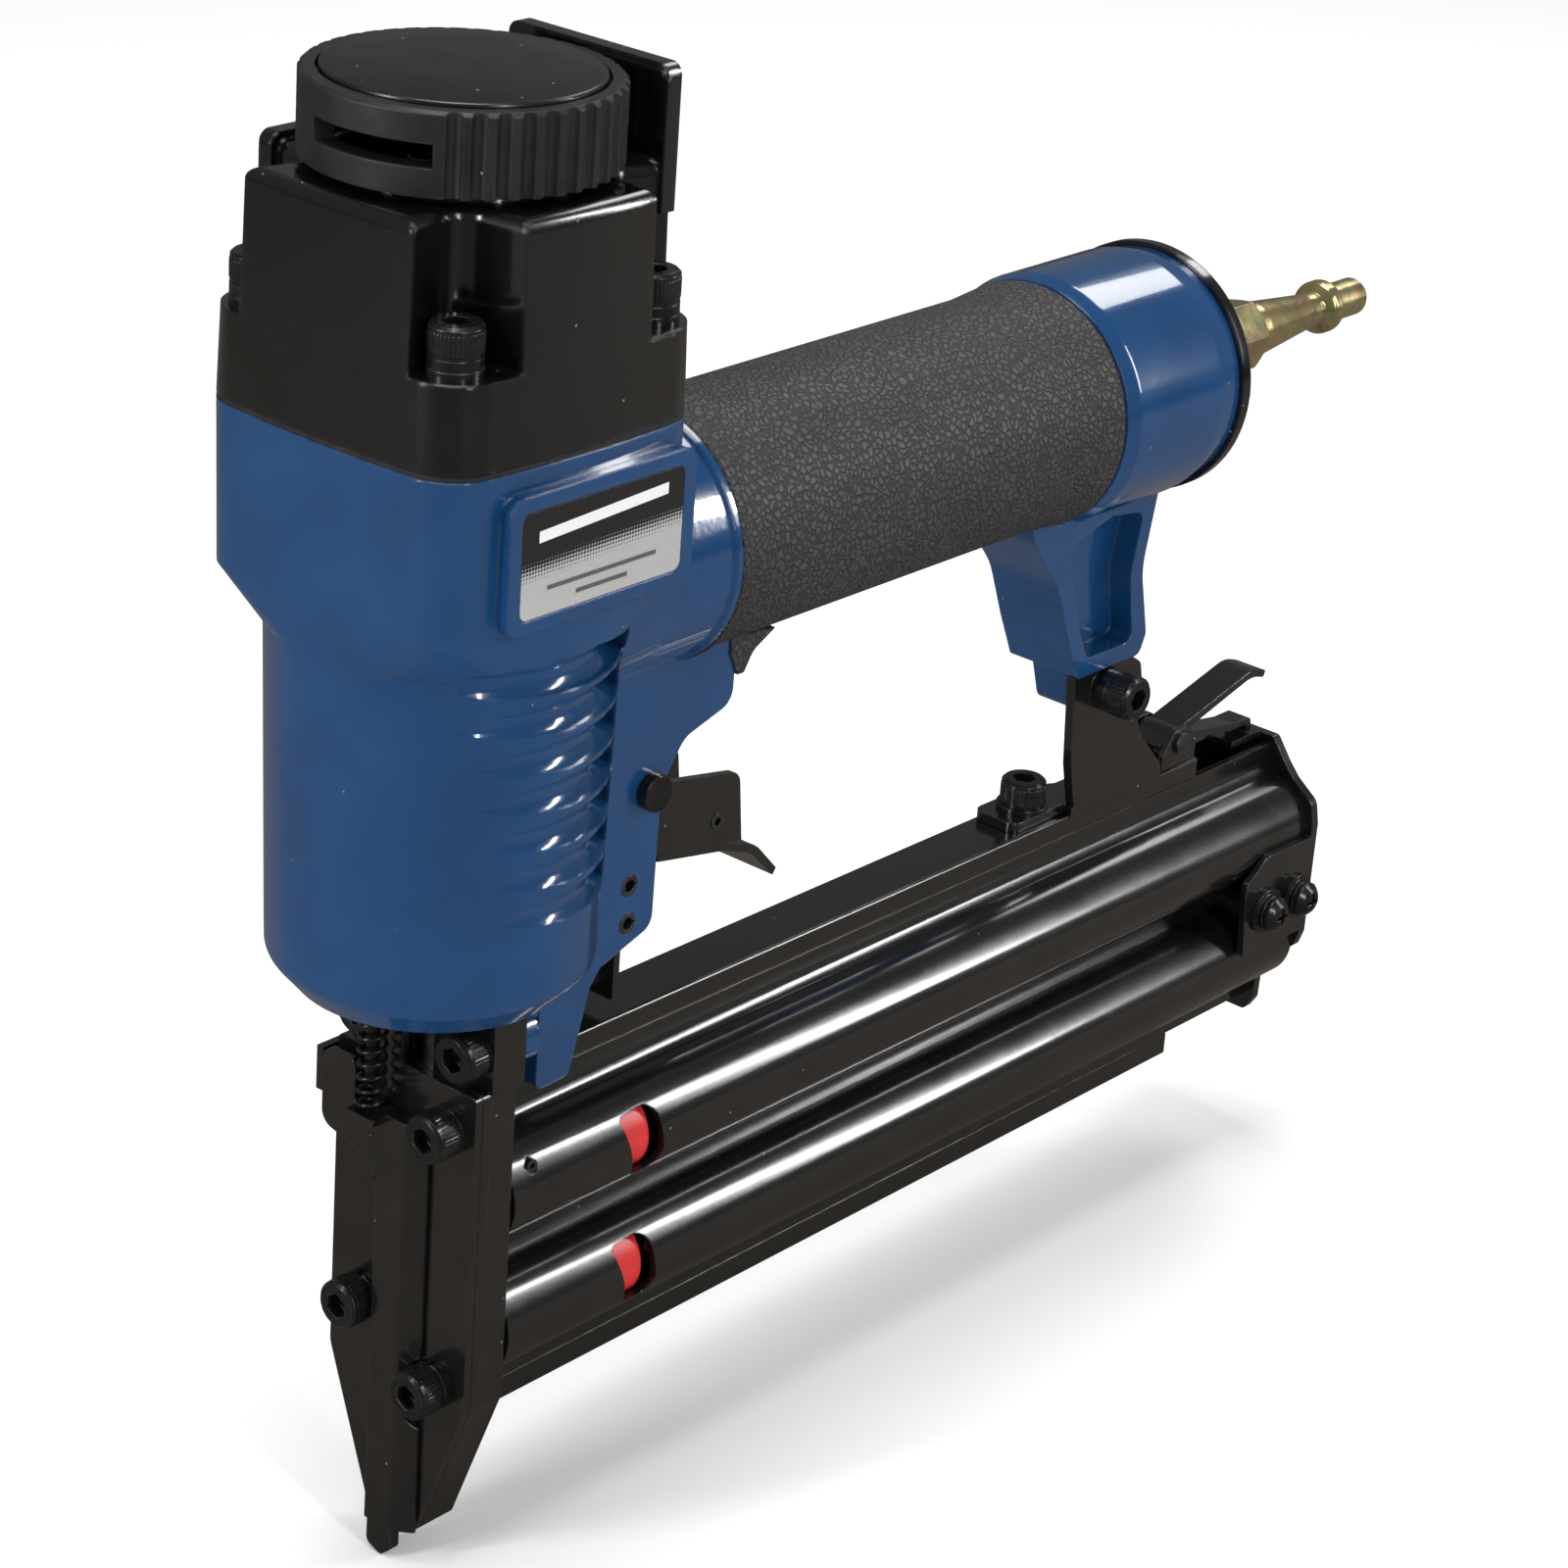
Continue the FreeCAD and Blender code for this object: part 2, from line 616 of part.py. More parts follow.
def trigger_pivot_pin():
    head = turned([(0, 0), (3.3, 0), (3.3, 2.2, 0.3), (0, 2.2)], vec(pivot_x, -web_half, pivot_z), vec(0, -1, 0))
    shank = rod(2.5, vec(pivot_x, -web_half, pivot_z), vec(pivot_x, web_half + 1.6, pivot_z))
    groove = ring(3, 1.9, vec(pivot_x, web_half + 0.1, pivot_z), vec(pivot_x, web_half + 0.8, pivot_z))
    return head.fuse(shank).cut(groove).removeSplitter()


def pivot_clip():
    """The retaining ring on the plain end of the pivot pin."""
    start = vec(pivot_x, web_half + 0.1, pivot_z)
    end = vec(pivot_x, web_half + 0.8, pivot_z)
    mouth = box(pivot_x - 1.4, pivot_x + 1.4, web_half, web_half + 1, pivot_z - 6, pivot_z)
    return ring(4.2, 1.9, start, end).cut(mouth)


def guide_roll_pins():
    pins = []
    for level in guide_pin_levels:
        ends = [vec(guide_pin_x, s * (web_half + 0.1), level) for s in (-1, 1)]
        slit = box(guide_pin_x, guide_pin_x + 3, -web_half - 1, web_half + 1, level - 0.25, level + 0.25)
        pins.append(ring(1.88, 1.1, ends[0], ends[1]).cut(slit))
    return group(pins)


valve_body_bottom = 133.8
valve_body_top = 149.0


def trigger_valve_body():
    solid = rod(4.95, vec(valve_x, 0, valve_body_bottom), vec(valve_x, 0, valve_body_top))
    grooves = [Part.makeTorus(4.95, 0.8, vec(valve_x, 0, z), Z) for z in (138.5, 145.0)]
    guide = rod(1.6 + fit_play, vec(valve_x, 0, 130), vec(valve_x, 0, 152))
    chamber = rod(3.4, vec(valve_x, 0, 137.5), vec(valve_x, 0, 147.2))
    return solid.cut(grooves + [guide, chamber])


def valve_orings():
    rings = [o_ring(4.2, 0.75, vec(valve_x, 0, z), Z) for z in (138.5, 145.0)]
    body = trigger_valve_body()
    return group([r.cut(body) for r in rings])


def valve_stem():
    low = 122.7
    shank = rod(1.6, vec(valve_x, 0, low), vec(valve_x, 0, 151.5))
    collar = rod(3.2, vec(valve_x, 0, 137.9), vec(valve_x, 0, 139.6))
    return fuse(shank, collar)


def stem_spring():
    return coil(2.5, 0.35, vec(valve_x, 0, 140.0), 6.8, 4)


# ---- nose ---------------------------------------------------------------------------------

def nose_outline(top):
    return mirrored([(nose_half, top, 1.2), (nose_half, nose_shoulder, 4), (nose_tip_half, 0, 1.2)])


nose_screw_spots = ((-11.3, 93.3), (11.3, 93.3), (-10.2, 80.0), (8.4, 41.0), (-8.7, 31.0))
upper_screws = nose_screw_spots[:2]
lower_screws = nose_screw_spots[2:]


def screw_holes(spots, x0, x1):
    return [rod(m5_radius + hole_play, vec(x0, y, z), vec(x1, y, z)) for y, z in spots]


def nose_base_plate():
    solid = prism("YZ", base_front, base_back, nose_outline(cylinder_bottom - 0.2))
    pad = prism("YZ", base_back, 6.5, mirrored([(nose_half, cylinder_bottom - 0.2), (nose_half, 86.5)]))
    cuts = [
        box(base_front - 1, blade_thick / 2 + 0.1, -blade_wide / 2 - 0.1, blade_wide / 2 + 0.1, -1, 110),
        box(0, base_back + 1, -0.8, 0.8, 25, 78.5),
        box(base_back, 8, -6.2, 6.2, 80, 110),
    ]
    return solid.fuse(pad).cut(cuts + screw_holes(nose_screw_spots, -3, 9)).removeSplitter()


def driver_guide_plate():
    solid = prism("YZ", -2.8, base_front, nose_outline(nose_plate_top))
    return solid.cut(screw_holes(lower_screws, -6, 3))


def nose_cover():
    solid = prism("YZ", cover_front, -2.95, nose_outline(nose_plate_top))
    lug = box(-10.6, cover_front, 1.2, spring_y + 2.8, 97.2, 98.6)
    riser = box(cover_front, -2.95, 1.2, spring_y + 2.8, nose_plate_top - 1, 98.6)
    pin_hole = rod(1.2, vec(spring_x, spring_y, 90), vec(spring_x, spring_y, 100))
    return fuse(solid, riser, lug).cut(screw_holes(lower_screws, -6, 3) + [pin_hole])


def spring_guide_pin():
    at = [vec(spring_x, spring_y, z) for z in (85.2, 97.1, 98.7, 99.6)]
    return fuse(rod(1.2, at[0], at[1]), rod(1.15, at[1], at[2]), rod(2.0, at[2], at[3]))


def nose_washers():
    forward = vec(-1, 0, 0)
    return group([spring_washer(vec(cover_front, y, z), forward, 1.3) for y, z in lower_screws])


def nose_screws():
    """The upper two sit straight on the base plate, so that the safety bar's head can pass in front."""
    forward = vec(-1, 0, 0)
    upper = [socket_screw(vec(base_front, y, z), forward, 12) for y, z in upper_screws]
    lower = [socket_screw(vec(cover_front - 1.3, y, z), forward, 9.5) for y, z in lower_screws]
    return group(upper + lower)


safety_back = cover_front - 0.25
safety_front = safety_back - 3.0
safety_tip = -5.5


def safety_contact():
    """The front bar with its spring head; the foot stands out below the nose."""
    bar_section = [(-6.3, safety_back), (-6.3, safety_back - 0.6, 0.5), (-3.2, safety_front, 1.5),
                   (3.2, safety_front, 0.4), (3.6, safety_front + 0.5), (3.6, safety_back)]
    bar = prism("XY", 0.6, 84.0, [(b, a) + tuple(r) for a, b, *r in bar_section])
    foot = prism("YZ", safety_front + 0.4, safety_back - 0.6, [
        (-2.9, 4), (-2.9, safety_tip + 2.0, 1.5), (-0.6, safety_tip, 1), (2.9, safety_tip + 1.2, 1.5), (2.9, 4)])
    head = prism("YZ", safety_front, safety_front + 1.5, [
        (-2.2, 76.0), (3.4, 67.0), (3.6, 66.0), (3.8, 69.4, 4), (16.2, 72.0, 3), (16.2, 86.0, 2),
        (8.6, 86.0, 1), (8.6, 79.0), (-2.2, 79.0)])
    shelf = box(safety_front - 3.2, safety_front + 1.5, 1.0, 7.4, 77.8, 79.0)
    bridge = box(safety_front + 1.0, safety_back, 3.0, 8.6, 70.5, 77.0)
    tab = box(safety_front, safety_back, 14.8, 16.2, 76.0, 83.0)
    solid = fuse(bar, foot, head, shelf, bridge, tab)
    room = box(safety_front - 1, safety_back + 1, -6.4, 8.6, 79.0, 90)
    passing = []
    for y, z in lower_screws:
        for low in (z - safety_travel, z - safety_travel / 2, z):
            passing.append(rod(4.8, vec(safety_front - 1, y, low), vec(safety_back + 1, y, low)))
    return solid.cut([room] + passing).removeSplitter()


def safety_link():
    """The bent strip from the front bar, past the nose and up between the web's cheeks."""
    arm = box(safety_front, 12.0, 16.3, 17.7, 77.5, 85.5)
    jog = prism("XY", 77.5, 85.5, [(10.6, 17.7), (10.6, 16.3), (14.4, 11.1), (17.0, 11.1), (17.0, 12.5), (15.2, 12.5), (12.4, 17.7)])
    rear = prism("XZ", 11.1, 12.5, [
        (14.6, 77.5), (22, 77.5, 3), (33, 86.5, 3), (40.4, 86.5), (40.4, 93.0), (31, 93.0, 3), (21, 85.5, 3), (14.6, 85.5)])
    cross = box(39.0, 40.4, -5.0, 12.5, 86.5, 93.0)
    blade = box(39.0, 40.4, -5.0, 5.0, 86.5, 114.2)
    return fuse(arm, jog, rear, cross, blade)


def safety_spring():
    return coil(2.2, 0.4, vec(spring_x, spring_y, 79.6), 16.9, 7)


# ---- magazine ------------------------------------------------------------------------------

def shell_face(side, grow):
    """Half of the ribbed section, from the centre plane out, offset inwards by grow."""
    neck = rail_half - grow
    waist = 7.2 - grow
    radius = rib_radius - grow
    sweep = 3.0 + grow
    high, low = rib_levels
    rise = math.sqrt((radius + sweep) ** 2 - (neck + sweep - rib_at) ** 2)
    touch = radius / (radius + sweep)
    drop = math.sqrt(radius ** 2 - (waist - rib_at) ** 2)

    def at(y, z):
        return vec(0, side * y, z)

    def corner(level, up):
        """Neck to rib: where the hollow fillet starts, its middle and where it ends."""
        centre_y, centre_z = neck + sweep, level + up * rise
        end = (rib_at + (centre_y - rib_at) * touch, level + up * rise * touch)
        toward = math.atan2(end[1] - centre_z, end[0] - centre_y)
        start_angle = math.pi
        turn = (toward - start_angle + math.pi) % (2 * math.pi) - math.pi
        mid = start_angle + turn / 2
        return (neck, centre_z), (centre_y + sweep * math.cos(mid), centre_z + sweep * math.sin(mid)), end

    top = shell_top + (5 if grow else 0)
    bottom = shell_bottom - (5 if grow else 0)
    in_top, mid_top, out_top = corner(high, 1)
    in_low, mid_low, out_low = corner(low, -1)
    edges = [
        Part.LineSegment(at(0, top), at(neck, top)),
        Part.LineSegment(at(neck, top), at(*in_top)),
        Part.Arc(at(*in_top), at(*mid_top), at(*out_top)),
        Part.Arc(at(*out_top), at(rib_at + radius, high), at(waist, high - drop)),
        Part.LineSegment(at(waist, high - drop), at(waist, low + drop)),
        Part.Arc(at(waist, low + drop), at(rib_at + radius, low), at(*out_low)),
        Part.Arc(at(*out_low), at(*mid_low), at(*in_low)),
        Part.LineSegment(at(*in_low), at(neck, bottom)),
        Part.LineSegment(at(neck, bottom), at(0, bottom)),
        Part.LineSegment(at(0, bottom), at(0, top)),
    ]
    return Part.Face(Part.Wire([e.toShape() for e in edges]))


end_screw_spots = (218.0, 228.5)
end_screw_level = 51.3
front_pin_level = rib_levels[0] + 5.6
front_pin_x = 10.4


def magazine_shell(side):
    length = shell_back - shell_front
    outer = shell_face(side, 0.0).extrude(X * length)
    inner = shell_face(side, shell_wall).extrude(X * length)
    solid = outer.cut(inner)
    bosses = []
    for x in end_screw_spots:
        local = x - shell_front
        bosses.append(rod(3.4, vec(local, side * 6.4, end_screw_level), vec(local, side * tab_inner, end_screw_level)))
    solid = fuse(solid, *bosses)
    cuts = []
    for level in rib_levels:
        window = prism("XZ", side * 9.5, side * 20, [
            (26.4, level + 6.4, 1), (35.2, level + 6.8, 3), (36.8, level - 5.0, 3), (29.6, level - 5.6, 1.5)])
        cuts.append(window)
    for x in end_screw_spots:
        local = x - shell_front
        cuts.append(rod(2.1, vec(local, side * 4, end_screw_level), vec(local, side * 20, end_screw_level)))
    pin = vec(front_pin_x - shell_front, side * 10, front_pin_level)
    cuts.append(rod(1.2, pin, pin.add(vec(0, side * 10, 0))))
    solid = solid.cut(cuts).removeSplitter()
    solid.translate(X * shell_front)
    return solid


def magazine_roll_pins():
    level = front_pin_level
    pins = [ring(1.2, 0.6, vec(front_pin_x, side * 13.7, level), vec(front_pin_x, side * 15.1, level)) for side in (-1, 1)]
    return group(pins)


core_inner = 0.75
core_outer = 2.35


def magazine_track():
    top = box(base_back + 0.1, rail_end, -rail_half, rail_half, shell_top + 0.2, rail_top)
    bottom = box(base_back + 0.1, rail_end, -rail_half, rail_half, rail_bottom, shell_bottom - 0.2)
    guide_half = rail_half - shell_wall - 0.15
    upper_guide = box(base_back + 0.1, rail_end, -guide_half, guide_half, 77.2, shell_top + 0.3)
    lower_guide = box(base_back + 0.1, rail_end, -guide_half, guide_half, shell_bottom - 0.3, 25.6)
    core = box(base_back + 0.1, rail_end, core_inner, core_outer, 25, 78)
    solid = fuse(top, bottom, upper_guide, lower_guide, core)
    cuts = [rod(m5_radius + hole_play, vec(157.5, 0, 74), vec(157.5, 0, 90))]
    edges_top = [e for e in solid.Edges if e.Length > 150 and min(v.Z for v in e.Vertexes) > rail_top - 0.01]
    solid = solid.makeFillet(0.6, edges_top)
    return solid.cut(cuts)


def magazine_end_plate():
    half = [
        (6.4, 81.2, 1.2), (9.8, 76.6, 1.5), (12.3, 73.8, 3), (17.2, 70.2, 3), (tab_outer, 65.6, 2),
        (tab_outer, 41.6, 2), (17.0, 38.2, 2), (12.4, 35.6, 3), (9.2, 30.6, 3), (9.0, 23.2, 1.5), (7.2, 20.2, 1.2),
    ]
    plate = prism("YZ", shell_back, shell_back + end_plate_thick, mirrored(half))
    tab = prism("XZ", -tab_outer, -tab_inner, [
        (shell_back + end_plate_thick, 63.0), (217.5, 63.2, 2), (210.6, 58.4, 2), (212.2, 42.4, 1), (shell_back + end_plate_thick, 42.4)])
    hook = box(222.0, shell_back + 1, -3.2, 3.2, 80.4, 81.6)
    solid = fuse(plate, hook, *both_sides(tab))
    holes = [rod(2.1, vec(x, -20, end_screw_level), vec(x, 20, end_screw_level)) for x in end_screw_spots]
    rod_hole = rod(1.8, vec(230, -8.6, rib_levels[0]), vec(236, -8.6, rib_levels[0]))
    return solid.cut(holes + [rod_hole]).removeSplitter()


def end_screw(side, x):
    """A pan head screw with a cross recess."""
    seat = vec(x, side * (tab_outer + 2.0), end_screw_level)
    out = vec(0, side, 0)
    head = turned([(0, 0), (3.6, 0), (3.6, 1.0, 0.4), (2.2, 2.5, 2), (0, 2.7)], seat, out)
    shank = rod(2.0, seat.sub(out * 13.5), seat.add(out * 0.1))
    deep = seat.add(out * 1.2)
    cross = [box(deep.x - a, deep.x + a, min(deep.y, deep.y + side * 4), max(deep.y, deep.y + side * 4),
                 deep.z - b, deep.z + b) for a, b in ((0.4, 1.8), (1.8, 0.4))]
    return head.fuse(shank).cut(cross)


def end_plate_screws():
    return group([end_screw(side, x) for side in (-1, 1) for x in end_screw_spots])


def end_plate_washers():
    washers = []
    for side in (-1, 1):
        for x in end_screw_spots:
            face = [vec(x, side * (tab_outer + t), end_screw_level) for t in (0.0, 0.9, 2.0)]
            washers.append(ring(4.6, 2.1, face[0], face[1]))
            washers.append(ring(3.7, 2.1, face[1], face[2]))
    return group(washers)


stub_x = 47.5


def nail_pusher():
    lobes = [rod(rib_radius - shell_wall - 0.4, vec(8, -rib_at, z), vec(39.4, -rib_at, z)) for z in rib_levels]
    body = box(8, 39.4, -5.4, -0.6, 30, 73)
    tongue = box(6.0, 20, -0.65, 0.6, 27, 76.5)
    solid = fuse(body, tongue, *lobes)
    keep = box(0, 60, -20, 0.6, 20, 80)
    ends = [rod(2.0, vec(0, -8.6, rib_levels[0]), vec(60, -8.6, rib_levels[0]))]
    core_room = box(0, 60, core_inner - 0.1, 5, 20, 80)
    waist = [box(0, 60, -5.3, -0.7, 77, 80)]
    middle = box(0, 60, -20, -5.5, 46.7, 56.1)
    solid = solid.common(keep).cut(ends + [core_room, middle] + waist)
    arm = box(38, stub_x + 3, -3.2, -1.2, rib_levels[1] - 3, rib_levels[1] + 3)
    stub = rod(2.3, vec(stub_x, -1.2, rib_levels[1]), vec(stub_x, -10.6, rib_levels[1]))
    return fuse(solid, arm, stub)


def pusher_guide_rod():
    return rod(1.8, vec(9, -8.6, rib_levels[0]), vec(shell_back + end_plate_thick, -8.6, rib_levels[0]))


def pusher_spring():
    """The rolled flat spring that pulls the pusher forward, wound on the pusher's stub."""
    turns = 5
    strip = 0.35
    inner, grow = 2.4, 0.82
    outer_side, inner_side = [], []
    for i in range(turns * 8 + 1):
        angle = math.pi / 4 * i
        radius = inner + grow * i / 8
        for side, extra in ((outer_side, strip), (inner_side, 0.0)):
            side.append(vec((radius + extra) * math.cos(angle), 0, (radius + extra) * math.sin(angle)))
    curves = []
    for side in (outer_side, inner_side):
        curve = Part.BSplineCurve()
        curve.interpolate(side)
        curves.append(curve.toShape())
    ends = [Part.makeLine(outer_side[0], inner_side[0]), Part.makeLine(outer_side[-1], inner_side[-1])]
    band = Part.Face(Part.Wire(Part.__sortEdges__(curves + ends))).extrude(Y * -7.0)
    band.translate(vec(stub_x, -3.4, rib_levels[1]))
    return band


# ---- rear bracket and latch --------------------------------------------------------------------

bracket_outer = -7.0
bracket_inner = -5.0


def rear_bracket():
    side = [
        (160.9, 113.2), (178.4, 113.2, 2), (181.6, 111.2, 2.5), (183.4, 104.0, 3), (182.2, 99.4, 3), (184.8, 94.6, 4),
        (191.8, 87.2, 2), (192.8, rail_top + 0.1), (165.2, rail_top + 0.1), (162.4, 95, 6),
    ]
    plate = prism("XZ", bracket_outer, bracket_inner, side)
    foot = prism("XY", rail_top + 0.1, rail_top + 2.1, [
        (149.6, -4.6, 2), (164, -4.6), (164, bracket_outer), (176, bracket_outer), (176, 0, 3), (166, 5.4, 3), (149.6, 5.4, 2)])
    boss = rod(4.3, vec(bracket_x, bracket_outer - 3.2, bracket_z), vec(bracket_x, bracket_outer + 0.5, bracket_z))
    hole = rod(m5_radius + hole_play, vec(bracket_x, -20, bracket_z), vec(bracket_x, 0, bracket_z))
    screw_hole = rod(m5_radius + hole_play, vec(157.5, 0, 80), vec(157.5, 0, 90))
    return fuse(plate, foot, boss).cut([hole, screw_hole]).removeSplitter()


def bracket_screw():
    return socket_screw(vec(bracket_x, bracket_outer - 3.2, bracket_z), vec(0, -1, 0), 15)


def rail_screw():
    return socket_screw(vec(157.5, 0, rail_top + 3.1), Z, 9)


def rail_washer():
    return ring(4.9, m5_radius + hole_play, vec(157.5, 0, rail_top + 2.1), vec(157.5, 0, rail_top + 3.1))


latch_x = 201.0
latch_z = 88.2


def latch_bracket():
    cheek = [(195.4, rail_top + 0.05), (206.0, rail_top + 0.05), (206.0, 86.5, 1), (203.6, 91.2, 2), (198.4, 91.2, 2),
             (195.4, 87.0, 2)]
    cheeks = [prism("XZ", 4.0, 5.2, cheek), prism("XZ", -5.2, -4.0, cheek)]
    base = box(195.4, 206.0, -5.2, 5.2, rail_top + 0.05, rail_top + 1.25)
    hole = rod(1.5, vec(latch_x, -9, latch_z), vec(latch_x, 9, latch_z))
    return fuse(cheeks[0], cheeks[1], base).cut(hole).removeSplitter()


def latch_pin():
    shank = rod(1.45, vec(latch_x, -5.8, latch_z), vec(latch_x, 5.8, latch_z))
    caps = [rod(2.2, vec(latch_x, s * 5.25, latch_z), vec(latch_x, s * 6.0, latch_z)) for s in (-1, 1)]
    return fuse(shank, *caps)


def latch_lever():
    arm = prism("XZ", -3.6, 3.6, [
        (196.2, 88.3, 0.7), (200, 90.0, 3), (226.0, 96.6, 8), (230.4, 95.2), (230.0, 93.8, 0.6), (225.8, 95.0, 8),
        (201, 88.4, 3), (196.9, 86.7, 0.7)])
    eye = rod(2.7, vec(latch_x, -3.6, latch_z), vec(latch_x, 3.6, latch_z))
    hook = prism("XZ", -2.4, 2.4, [
        (202, 88.6), (223.0, 85.2, 2), (229.2, 85.2, 1.5), (229.2, 82.0), (227.6, 82.0), (227.6, 83.8, 0.8), (222.6, 83.8, 2),
        (202, 87.0)])
    hole = rod(1.45 + fit_play, vec(latch_x, -9, latch_z), vec(latch_x, 9, latch_z))
    return fuse(arm, eye, hook).cut(hole).removeSplitter()


os.makedirs("parts", exist_ok=True)
save("body_casting", body_casting())
save("cylinder_cap", cylinder_cap())
save("cap_gasket", cap_gasket())
save("cap_washers", at_cap_screws(cap_washer))
save("cap_spring_washers", at_cap_screws(cap_spring_washer))
save("cap_screws", at_cap_screws(cap_screw))
save("nameplates", group(both_sides(nameplate())))
save("exhaust_deflector", exhaust_deflector())
save("deflector_disc", deflector_disc())
save("deflector_screw", deflector_screw())
save("cylinder_liner", cylinder_liner())
save("liner_orings", liner_orings())
save("piston_bumper", piston_bumper())
save("drive_piston", drive_piston())
save("piston_ring", piston_ring())
save("driver_blade", driver_blade())
save("head_valve", head_valve())
save("head_valve_oring", head_valve_oring())
save("head_valve_spring", head_valve_spring())
save("grip_sleeve", grip_sleeve())
save("handle_end_cap", handle_end_cap())
save("end_cap_oring", end_cap_oring())
save("air_plug", air_plug())
save("trigger", trigger())
save("trigger_roll_pin", trigger_roll_pin())
save("trigger_lever", trigger_lever())
save("trigger_pivot_pin", trigger_pivot_pin())
save("pivot_clip", pivot_clip())
save("guide_roll_pins", guide_roll_pins())
save("trigger_valve_body", trigger_valve_body())
save("valve_orings", valve_orings())
save("valve_stem", valve_stem())
save("stem_spring", stem_spring())
save("nose_base_plate", nose_base_plate())
save("driver_guide_plate", driver_guide_plate())
save("nose_cover", nose_cover())
save("spring_guide_pin", spring_guide_pin())
save("nose_washers", nose_washers())
save("nose_screws", nose_screws())
save("safety_contact", safety_contact())
save("safety_link", safety_link())
save("safety_spring", safety_spring())
save("magazine_shell_right", magazine_shell(-1))
save("magazine_shell_left", magazine_shell(1))
save("magazine_roll_pins", magazine_roll_pins())
save("magazine_track", magazine_track())
save("magazine_end_plate", magazine_end_plate())
save("end_plate_screws", end_plate_screws())
save("end_plate_washers", end_plate_washers())
save("nail_pusher", nail_pusher())
save("pusher_guide_rod", pusher_guide_rod())
save("pusher_spring", pusher_spring())
save("rear_bracket", rear_bracket())
save("bracket_screw", bracket_screw())
save("rail_screw", rail_screw())
save("rail_washer", rail_washer())
save("latch_bracket", latch_bracket())
save("latch_pin", latch_pin())
save("latch_lever", latch_lever())
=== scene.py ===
import json
import math
import bmesh
import bpy
from mathutils import Matrix, Vector


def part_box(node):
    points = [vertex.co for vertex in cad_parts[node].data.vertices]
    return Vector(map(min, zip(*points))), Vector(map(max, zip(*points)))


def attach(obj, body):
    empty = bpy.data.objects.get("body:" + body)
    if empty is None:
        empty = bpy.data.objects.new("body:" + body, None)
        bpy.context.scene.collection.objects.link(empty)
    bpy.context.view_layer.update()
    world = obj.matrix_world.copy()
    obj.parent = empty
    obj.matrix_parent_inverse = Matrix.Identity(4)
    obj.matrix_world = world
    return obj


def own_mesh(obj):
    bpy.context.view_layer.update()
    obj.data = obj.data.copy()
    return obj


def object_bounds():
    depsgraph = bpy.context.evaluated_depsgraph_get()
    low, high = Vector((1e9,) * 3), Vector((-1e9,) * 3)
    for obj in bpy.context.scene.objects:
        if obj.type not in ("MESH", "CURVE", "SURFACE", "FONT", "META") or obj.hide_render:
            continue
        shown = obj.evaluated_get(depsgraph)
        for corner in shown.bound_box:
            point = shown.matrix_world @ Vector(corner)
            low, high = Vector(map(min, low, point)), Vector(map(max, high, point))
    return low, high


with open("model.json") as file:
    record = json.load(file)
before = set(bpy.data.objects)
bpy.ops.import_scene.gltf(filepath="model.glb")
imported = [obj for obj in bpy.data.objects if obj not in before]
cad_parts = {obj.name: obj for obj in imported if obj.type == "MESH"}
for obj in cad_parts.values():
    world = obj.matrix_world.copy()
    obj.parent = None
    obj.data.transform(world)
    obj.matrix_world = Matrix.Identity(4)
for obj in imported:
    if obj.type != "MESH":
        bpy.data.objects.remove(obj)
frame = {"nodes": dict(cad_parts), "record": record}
cadLow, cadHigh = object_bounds()
nodes = frame["nodes"]
print("frame loaded:", len(nodes), "nodes")


# node tree helpers

def feed(tree, socket, value):
    # an output is linked to the socket, anything else is set on it
    if isinstance(value, bpy.types.NodeSocket):
        tree.links.new(value, socket)
    elif socket.type == "RGBA" and len(value) == 3:
        socket.default_value = (*value, 1.0)
    else:
        socket.default_value = value


def place(tree, kind, links=(), **values):
    # adds a node, sets its properties or sockets by name, and links (socket, source) pairs
    node = tree.nodes.new(kind)
    for name, value in values.items():
        if hasattr(node, name):
            setattr(node, name, value)
        else:
            feed(tree, node.inputs[name], value)
    for socket, source in links:
        feed(tree, node.inputs[socket], source)
    return node


def objectPoint(tree):
    return place(tree, "ShaderNodeTexCoord").outputs["Object"]


def startGroup(name, inputs, outputs):
    tree = bpy.data.node_groups.new(name, "ShaderNodeTree")
    for label, kind, value in inputs:
        socket = tree.interface.new_socket(name=label, in_out="INPUT", socket_type=kind)
        socket.default_value = value
    for label, kind in outputs:
        tree.interface.new_socket(name=label, in_out="OUTPUT", socket_type=kind)
    given = tree.nodes.new("NodeGroupInput").outputs
    out = tree.nodes.new("NodeGroupOutput").inputs
    return tree, given, out


def mathNode(tree, operation, first, second=None, clamp=False):
    node = tree.nodes.new("ShaderNodeMath")
    node.operation = operation
    node.use_clamp = clamp
    feed(tree, node.inputs[0], first)
    if second is not None:
        feed(tree, node.inputs[1], second)
    return node.outputs[0]


def multiply(tree, first, second, clamp=False):
    return mathNode(tree, "MULTIPLY", first, second, clamp)


def ramp(tree, source, span):
    # 0 to 1 as the source goes through the span
    node = place(tree, "ShaderNodeMapRange", links=[("Value", source), ("From Min", span[0]), ("From Max", span[1])])
    node.clamp = True
    return node.outputs["Result"]


def between(tree, source, span):
    # 1 inside the span, 0 outside it
    above = mathNode(tree, "GREATER_THAN", source, span[0])
    below = mathNode(tree, "LESS_THAN", source, span[1])
    return multiply(tree, above, below)


def mixColour(tree, amount, first, second):
    node = tree.nodes.new("ShaderNodeMix")
    node.data_type = "RGBA"
    for socket, value in ((0, amount), (6, first), (7, second)):    # the sockets of a colour mix
        feed(tree, node.inputs[socket], value)
    return node.outputs[2]


